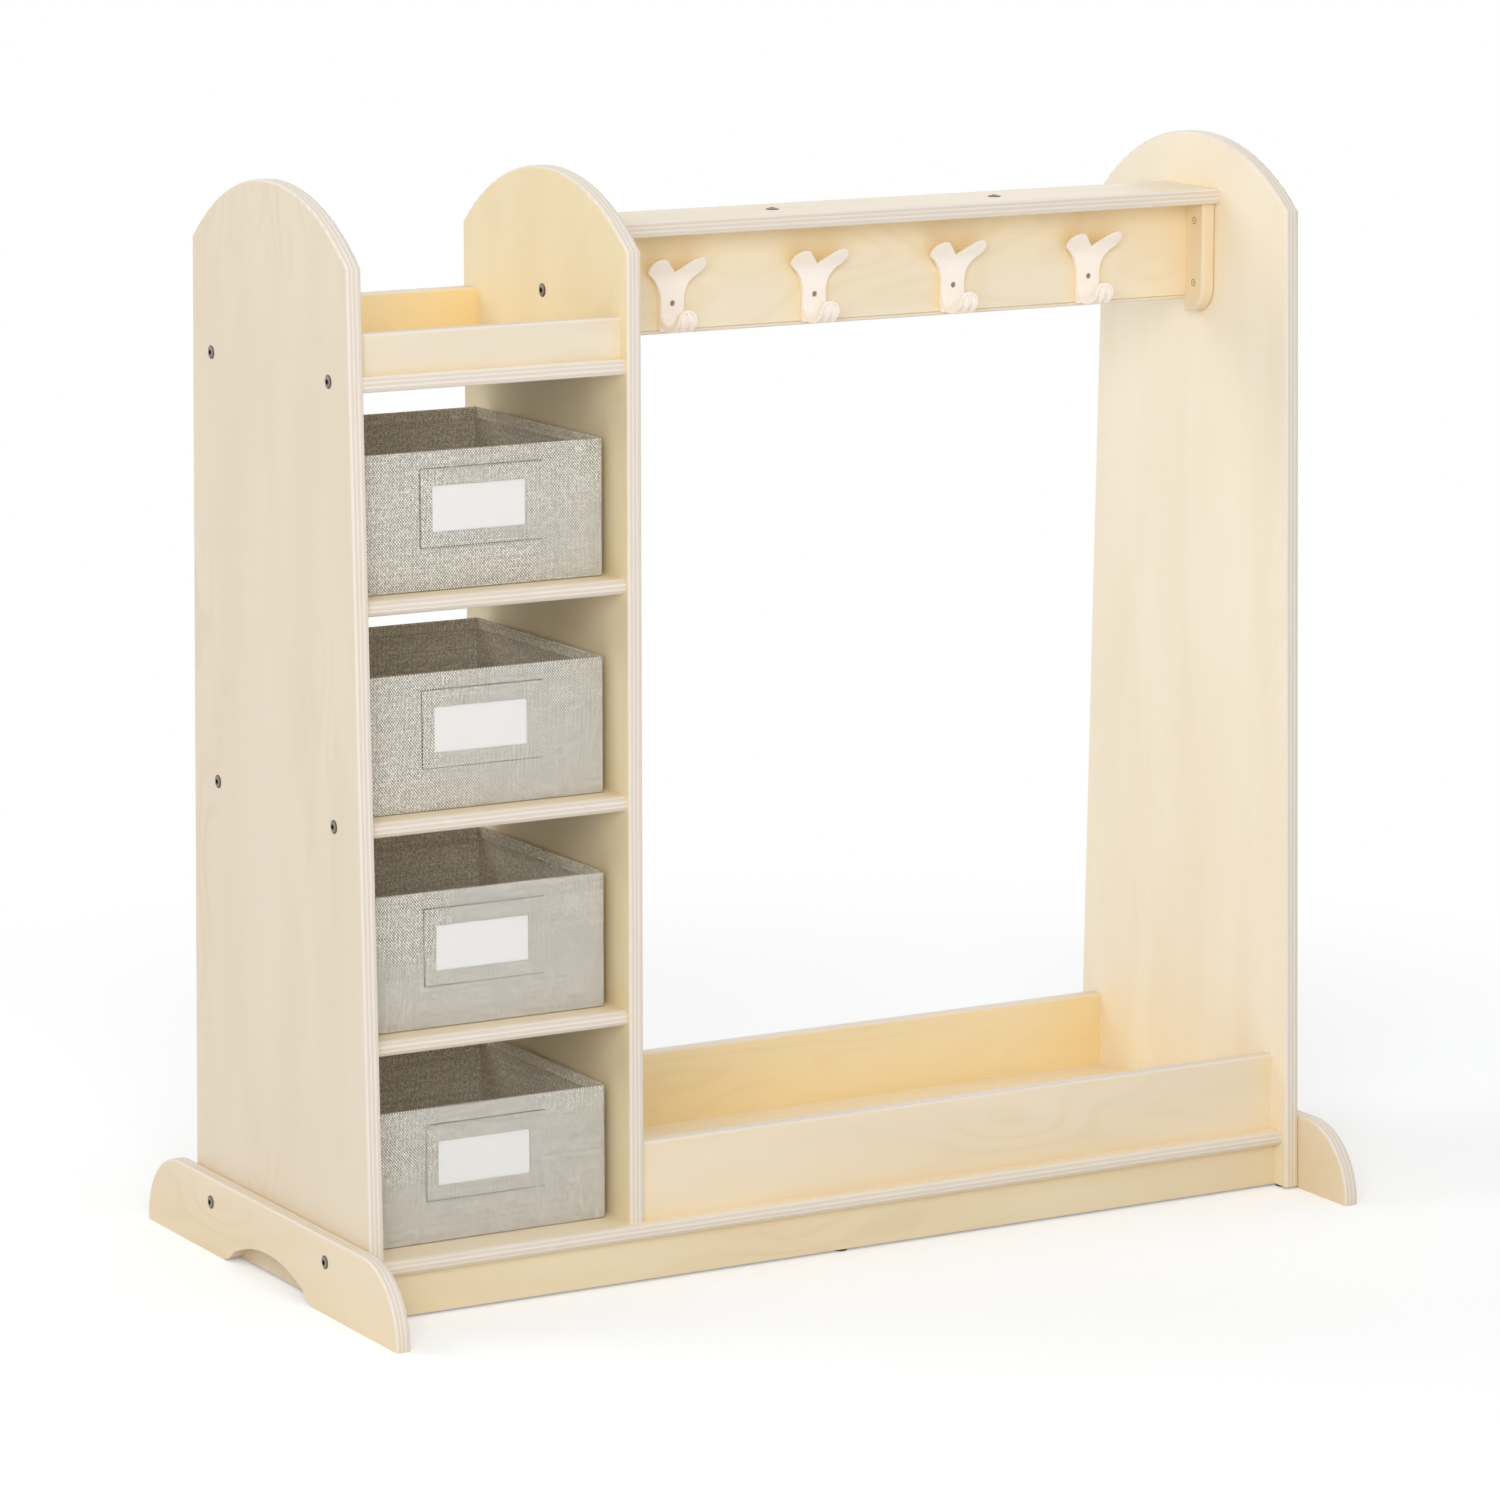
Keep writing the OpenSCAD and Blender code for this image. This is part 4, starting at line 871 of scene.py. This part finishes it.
@dataclass
class FabricBin:
    """One open bin of covered board, with its label pocket, card and window."""

    number: int
    cloth: Finish
    lining: Finish
    card: Finish
    film: Finish
    corner: float = 0.004
    foot_round: float = 0.002
    rim_round: float = 0.0012
    rim_band: float = 0.0001
    bow: float = 0.0009
    unevenness: float = 0.0004
    ripple_noise: float = 14.0
    hem_below_rim: float = 0.0095
    hem_half: float = 0.0008
    hem_depth: float = 0.0004
    cells: int = 12
    shift_mm: Pair = (37.3, 11.9)

    def __post_init__(self) -> None:
        """Reads the bin's box and wall from the frame."""
        self.body = f"bin_{self.number}"
        self.low, self.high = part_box(f"{self.body}_box")
        self.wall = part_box(f"{self.body}_base_board")[0].z - self.low.z
        self.hem = self.high.z - self.hem_below_rim

    def rough_box(self) -> BMesh:
        """Shapes the open box: rounded corners, cut into cells.

        Returns:
            The bmesh of the outer skin.
        """
        bm = bmesh.new()
        bmesh.ops.create_cube(bm, size=1.0)
        bmesh.ops.scale(bm, vec=self.high - self.low, verts=bm.verts)
        bmesh.ops.translate(bm, vec=(self.low + self.high) / 2, verts=bm.verts)
        lid = [face for face in bm.faces if face.normal.z > 0.9]
        bmesh.ops.delete(bm, geom=lid, context="FACES")
        upright = [edge for edge in bm.edges
                   if abs(edge.verts[0].co.z - edge.verts[1].co.z) > self.wall]
        round_off(bm, upright, self.corner, 4)
        foot = [edge for edge in bm.edges
                if all(abs(vert.co.z - self.low.z) < EXACT for vert in edge.verts)]
        round_off(bm, foot, self.foot_round, 2)
        cut_across(bm, Axis.X, evenly(self.low.x, self.high.x, self.cells))
        cut_across(bm, Axis.Y, evenly(self.low.y, self.high.y, self.cells))
        cut_across(bm, Axis.Z, evenly(self.low.z, self.high.z, self.cells // 2))
        cut_across(bm, Axis.Z, [self.hem - self.hem_half, self.hem, self.hem + self.hem_half])
        return bm

    def soften(self, bm: BMesh) -> None:
        """Bows the walls, makes them slightly uneven and presses the hem's seam in.

        Args:
            bm: the outer skin.
        """
        size = self.high - self.low
        for vert in bm.verts:
            share = [(vert.co[i] - self.low[i]) / size[i] for i in range(3)]
            rise = math.sin(math.pi / 2 * share[2])
            ripple = noise.noise(vert.co * self.ripple_noise + Vector((self.number * 7, 0, 0)))
            pressed = self.hem_depth if abs(vert.co.z - self.hem) < CLOSE else 0.0
            for i in (0, 1):
                other = math.sin(math.pi * share[1 - i])
                outwards = 1 if share[i] > 0.999 else -1 if share[i] < 0.001 else 0
                push = self.bow * rise * other + self.unevenness * ripple * rise - pressed
                if i == 1 and outwards < 0:
                    # the front stays flat behind the label's card
                    push = min(0.0, push - self.bow * rise * other)
                vert.co[i] += outwards * push

    def shell(self) -> Piece:
        """Builds the bin's covered walls and floor.

        Returns:
            The finished piece.
        """
        bm = self.rough_box()
        self.soften(bm)
        bmesh.ops.recalc_face_normals(bm, faces=bm.faces)
        bmesh.ops.solidify(bm, geom=bm.faces[:], thickness=self.wall)
        rim = [edge for edge in bm.edges
               if all(vert.co.z > self.high.z - self.rim_band for vert in edge.verts)
               and len(edge.link_faces) == 2
               and abs(edge.link_faces[0].normal.z - edge.link_faces[1].normal.z) > 0.5]
        round_off(bm, rim, self.rim_round, 3)
        inside = bm.verts.layers.float.new("inside")
        bm.verts.layers.float.new("crease_shade")
        # marks the inner faces, which the cloth makes lighter as painted bounce light
        for vert in bm.verts:
            depth = min(*(vert.co[i] - self.low[i] for i in range(3)),
                        *(self.high[i] - vert.co[i] for i in range(2)))
            vert[inside] = 1.0 if depth > self.wall * 0.6 else 0.0
        lay_weave(bm, self.shift_mm, self.number)
        made = new_piece(f"{self.body}_cloth_box", finished_mesh("cloth box", bm), self.cloth,
                         self.body)
        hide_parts(f"{self.body}_box")
        return made

    def build(self) -> None:
        """Builds the cloth pieces and dresses the board, card and window."""
        self.shell()
        LabelPocket(self.number, self.cloth).build()
        dress(f"{self.body}_base_board", self.lining)
        dress(f"{self.body}_label_card", self.card)
        dress(f"{self.body}_label_window", self.film)


@dataclass
class MouldedHooks:
    """The row of moulded double hooks, with softened edges, and their screws."""

    plastic: Finish
    steel: Finish
    voxel: float = 0.00045
    smoothing: int = 4

    def hook(self, node: str) -> Piece:
        """Builds one hook from its CAD shape, every edge eased as a mould leaves it.

        Args:
            node: the hook's CAD node.

        Returns:
            The finished piece.
        """
        bm = bmesh.new()
        bm.from_mesh(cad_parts[node].data)
        bmesh.ops.remove_doubles(bm, verts=bm.verts, dist=EXACT)
        mesh = bpy.data.meshes.new(f"{node} blank")
        bm.to_mesh(mesh)
        bm.free()
        blank = bpy.data.objects.new(f"{node}_blank", mesh)
        bpy.context.scene.collection.objects.link(blank)
        grid = blank.modifiers.new("grid", "REMESH")
        grid.mode = "VOXEL"
        grid.voxel_size = self.voxel
        ease = blank.modifiers.new("ease", "SMOOTH")
        ease.factor = 0.5
        ease.iterations = self.smoothing
        shaped = blank.evaluated_get(bpy.context.evaluated_depsgraph_get())
        eased = bpy.data.meshes.new_from_object(shaped)
        bpy.data.objects.remove(blank)
        eased.shade_smooth()
        made = new_piece(f"{node}_moulded", eased, self.plastic, "carcass")
        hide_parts(node)
        return made

    def build(self) -> None:
        """Builds every hook and dresses the screws."""
        for node in sorted(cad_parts):
            if node.startswith("hook_") and node[5:].isdigit():
                self.hook(node)
        dress("hook_screws", self.steel)


@dataclass
class Carcass:
    """Panels, feet, shelves and rails of birch plywood, with the solid cleats."""

    # each board's tone is partly its veneer and partly painted light, set by how light falls on
    # that board
    boards: tuple[PlyFinish, ...] = (
        PlyFinish("left_side_panel", Axis.Z, Axis.X, VeneerAndPaintedLight.ROSY),
        # the share given on a board sets how much painted shade darkens its sheltered corners
        PlyFinish("divider_panel", Axis.Z, Axis.X, VeneerAndPaintedLight.WARM, painted_shade=0.12),
        PlyFinish("right_side_panel", Axis.Z, Axis.X, VeneerAndPaintedLight.PALE),
        PlyFinish("left_foot", Axis.Y, Axis.X, VeneerAndPaintedLight.HONEY),
        PlyFinish("right_foot", Axis.Y, Axis.X, VeneerAndPaintedLight.HONEY),
        *(PlyFinish(shelf, Axis.X, Axis.Z, VeneerAndPaintedLight.PLAIN)
          for shelf in ("base_shelf", "tray_shelf", "bin_shelf_upper", "bin_shelf_middle",
                        "bin_shelf_lower")),
        PlyFinish("top_board", Axis.X, Axis.Z, VeneerAndPaintedLight.COOL),
        PlyFinish("front_apron", Axis.X, Axis.Y, VeneerAndPaintedLight.DEEP),
        PlyFinish("rear_apron", Axis.X, Axis.Y, VeneerAndPaintedLight.DEEP),
        PlyFinish("tray_front_rail", Axis.X, Axis.Y, VeneerAndPaintedLight.COOL, painted_shade=0.5),
        PlyFinish("tray_rear_rail", Axis.X, Axis.Y, VeneerAndPaintedLight.WARM, painted_shade=0.8),
        PlyFinish("trough_front_rail", Axis.X, Axis.Y, VeneerAndPaintedLight.HONEY),
        PlyFinish("trough_rear_rail", Axis.X, Axis.Y, VeneerAndPaintedLight.WARM, painted_shade=0.75),
        PlyFinish("hook_rail", Axis.X, Axis.Y, VeneerAndPaintedLight.PLAIN, painted_shade=0.9, eased_mm=3.8),
    )
    cleat_wood: SolidBirchFinish = SolidBirchFinish("solid birch", rgb(241, 225, 199),
                                                    rgb(233, 212, 178))

    def build(self) -> None:
        """Dresses every board and both cleats."""
        for finish in self.boards:
            dress(finish.board, finish.material())
        wood = self.cleat_wood.material()
        for cleat in ("left_cleat", "right_cleat"):
            dress(cleat, wood)


@dataclass
class Fasteners:
    """Bolts, nuts, screws, dowels and floor glides."""

    bolt_rows_mm: float = 252.0
    shelf_bolt_z_mm: float = 464.0
    bolted_shelves_apart_mm: float = 413.0
    foot_bolt_z_mm: float = 51.0
    rail_bolt_mm: Pair = (-3.0, 932.5)
    top_bolt_mm: Pair = (16.75, -3.0)
    divider_x_mm: float = -227.0
    cleat_head_mm: float = 7.5

    def build(self) -> None:
        """Dresses every fastener node."""
        side, plan = (Axis.Y, Axis.Z), (Axis.X, Axis.Y)
        rows = self.bolt_rows_mm
        heads = {
            "shelf_bolts": (side, (rows / 2, self.shelf_bolt_z_mm),
                            (rows, self.bolted_shelves_apart_mm)),
            "foot_bolts": (side, (rows / 2, self.foot_bolt_z_mm), (rows, 0.0)),
            "rail_end_bolts": (side, self.rail_bolt_mm, (0.0, 0.0)),
            "top_board_bolts": (plan, self.top_bolt_mm, (rows, 0.0)),
            "divider_base_bolts": (plan, (self.divider_x_mm, rows / 2), (0.0, rows)),
        }
        for node, (across, centre, spacing) in heads.items():
            dress(node, BoltFinish(f"plated {node}", across, centre, spacing).material())
        low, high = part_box("cleat_screws")
        head = self.cleat_head_mm
        finishes = {
            "barrel_nuts": PlainFinish("zinc", rgb(186, 189, 192), rgb(160, 163, 166), 0.35,
                                       metallic=0.9, grain_mm=2.0),
            "dowels": SolidBirchFinish("beech dowel", rgb(222, 190, 146), rgb(196, 158, 112),
                                       Axis.X),
            # the cleat screws' darker rim and centre are painted shade round each head and in its
            # recess
            "cleat_screws": BoltFinish(
                "painted cleat_screws", side, ((low.y + high.y) / 2 / MM, low.z / MM + head / 2),
                (0.0, (high.z - low.z) / MM - head), rgb(232, 208, 170), rgb(150, 122, 88),
                rgb(196, 168, 128), rim_shade_mm=(2.5, 3.4), recess_shade_mm=(1.1, 0.6), metallic=0.0),
            "floor_glides": PlainFinish("glide", rgb(70, 62, 54), rgb(50, 44, 38), 0.6,
                                        grain_mm=1.0),
        }
        for node, finish in finishes.items():
            dress(node, finish.material())


@dataclass
class SideMirror:
    """The mirror sheet and the adhesive strips behind it."""

    sheet: MirrorFinish = MirrorFinish()
    tape: PlainFinish = PlainFinish("adhesive strip", rgb(240, 240, 236), rgb(228, 228, 222),
                                    0.7, grain_mm=1.0)

    def build(self) -> None:
        """Dresses the sheet and its strips."""
        dress("mirror_sheet", self.sheet.material())
        dress("mirror_tape", self.tape.material())


# ---------- studio ----------


@dataclass
class Studio:
    """White floor and surround, soft lamps and the camera."""

    camera_at: Triple = (-2.9845, -5.2158, 1.6053)
    camera_turn: Triple = (79.27, 0.0, -29.726)
    lens: float = 149.84
    sensor: float = 36.0
    surround: float = 0.55
    floor_half: float = 12.0
    floor_tone: Colour = (0.835, 0.845, 0.85, 1.0)
    floor_glow: float = 0.23
    shadow_reach: Pair = (0.85, 1.7)
    lamps_aim: Triple = (0.0, 0.0, 0.5)
    lamps: tuple[tuple[str, Triple, float, float], ...] = (
        ("overhead", (0.3, -0.6, 4.2), 3.0, 24.0),
        ("front left", (-2.5, -4.0, 2.2), 2.5, 106.0),
        ("back left", (-3.0, 2.5, 3.0), 2.5, 44.0),
        ("back right", (3.0, 3.0, 2.5), 2.5, 12.0),
    )

    @staticmethod
    def seen_directly(graph: Graph) -> Socket:
        """Gives 1 where the eye, a reflection or a clear sheet shows the surface."""
        path = graph.node("ShaderNodeLightPath").outputs
        either = graph.math("MAXIMUM", path["Is Camera Ray"], path["Is Glossy Ray"])
        return graph.math("MAXIMUM", either, path["Is Transmission Ray"])

    def world(self) -> None:
        """Makes the white surround, which lights the object less than it shows itself."""
        world = bpy.data.worlds.new("white room")
        world.use_nodes = True
        bpy.context.scene.world = world
        graph = Graph(world.node_tree)
        graph.fill(world.node_tree.nodes["Background"], {
            "Color": WHITE,
            "Strength": graph.between(self.seen_directly(graph), self.surround, 1.0)})

    def floor(self) -> None:
        """Lays the floor: it keeps the soft shadow round the feet and shows white beyond."""
        bm = bmesh.new()
        bmesh.ops.create_grid(bm, x_segments=1, y_segments=1, size=self.floor_half)
        mesh = finished_mesh("floor", bm)
        made, graph, shader = new_material("pale floor")
        squares = [graph.math("POWER", part, 2.0) for part in object_parts(graph)[:2]]
        away = graph.math("SQRT", graph.math("ADD", *squares))
        seen = self.seen_directly(graph)
        beyond = graph.step(away, *(reach / MM for reach in self.shadow_reach))
        faded = graph.times(beyond, seen)
        glow = graph.between(faded, self.floor_glow, 1.0)
        graph.fill(shader, {"Base Color": graph.mix(faded, self.floor_tone, BLACK),
                            "Emission Strength": graph.times(glow, seen),
                            "Emission Color": WHITE, "Roughness": 1.0,
                            "Specular IOR Level": 0.0})
        mesh.materials.append(made)
        floor = bpy.data.objects.new("floor", mesh)
        bpy.context.scene.collection.objects.link(floor)

    def lamp(self, name: str, place: Triple, size: float, power: float) -> None:
        """Hangs a soft lamp that faces the unit.

        Args:
            name: the lamp's name.
            place: where it hangs.
            size: the side of its square.
            power: its power in watts.
        """
        data = bpy.data.lights.new(name, "AREA")
        data.shape = "SQUARE"
        data.size = size
        data.energy = power
        made = bpy.data.objects.new(name, data)
        made.location = place
        aim = Vector(self.lamps_aim) - Vector(place)
        made.rotation_euler = aim.to_track_quat("-Z", "Y").to_euler()
        bpy.context.scene.collection.objects.link(made)

    def camera(self) -> None:
        """Sets up the photograph's view."""
        data = bpy.data.cameras.new("photo view")
        data.lens = self.lens
        data.sensor_width = self.sensor
        camera = bpy.data.objects.new("photo view", data)
        camera.location = self.camera_at
        camera.rotation_euler = [math.radians(turn) for turn in self.camera_turn]
        bpy.context.scene.collection.objects.link(camera)
        bpy.context.scene.camera = camera
        bpy.context.scene.view_settings.view_transform = "Standard"

    def build(self) -> None:
        """Sets up the room, the lamps and the camera."""
        self.world()
        self.floor()
        for name, place, size, power in self.lamps:
            self.lamp(name, place, size, power)
        self.camera()


def main() -> None:
    """Builds the whole scene in order."""
    logging.basicConfig(level=logging.INFO, format="%(name)s: %(message)s")
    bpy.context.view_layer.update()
    Studio().build()
    for effect in (BirchFigure(), PlyLayers(), LinenWeave()):
        effect.build()
    Carcass().build()
    cream = PlainFinish("moulded cream", rgb(254, 245, 237), rgb(251, 241, 231), 0.42, 0.4,
                        grain_mm=9.0).material()
    steel = PlainFinish("hook screw", rgb(176, 160, 138), rgb(140, 124, 104), 0.35,
                        metallic=0.6, grain_mm=1.0).material()
    MouldedHooks(cream, steel).build()
    cloth = LinenFinish("linen").material()
    lining = PlainFinish("board lining", rgb(214, 207, 190), rgb(150, 143, 126), 0.9, 0.2,
                         grain_mm=1.5, relief=0.0001).material()
    card = PlainFinish("label card", rgb(236, 234, 231), rgb(233, 231, 227), 0.75, 0.3,
                       grain_mm=3.0).material()
    film = PlainFinish("window film", rgb(252, 252, 252), rgb(248, 249, 250), 0.42, 0.35,
                       grain_mm=20.0, alpha=0.15).material()
    for number in (1, 2, 3, 4):
        FabricBin(number, cloth, lining, card, film).build()
    Fasteners().build()
    SideMirror().build()


if __name__ == "__main__":
    main()
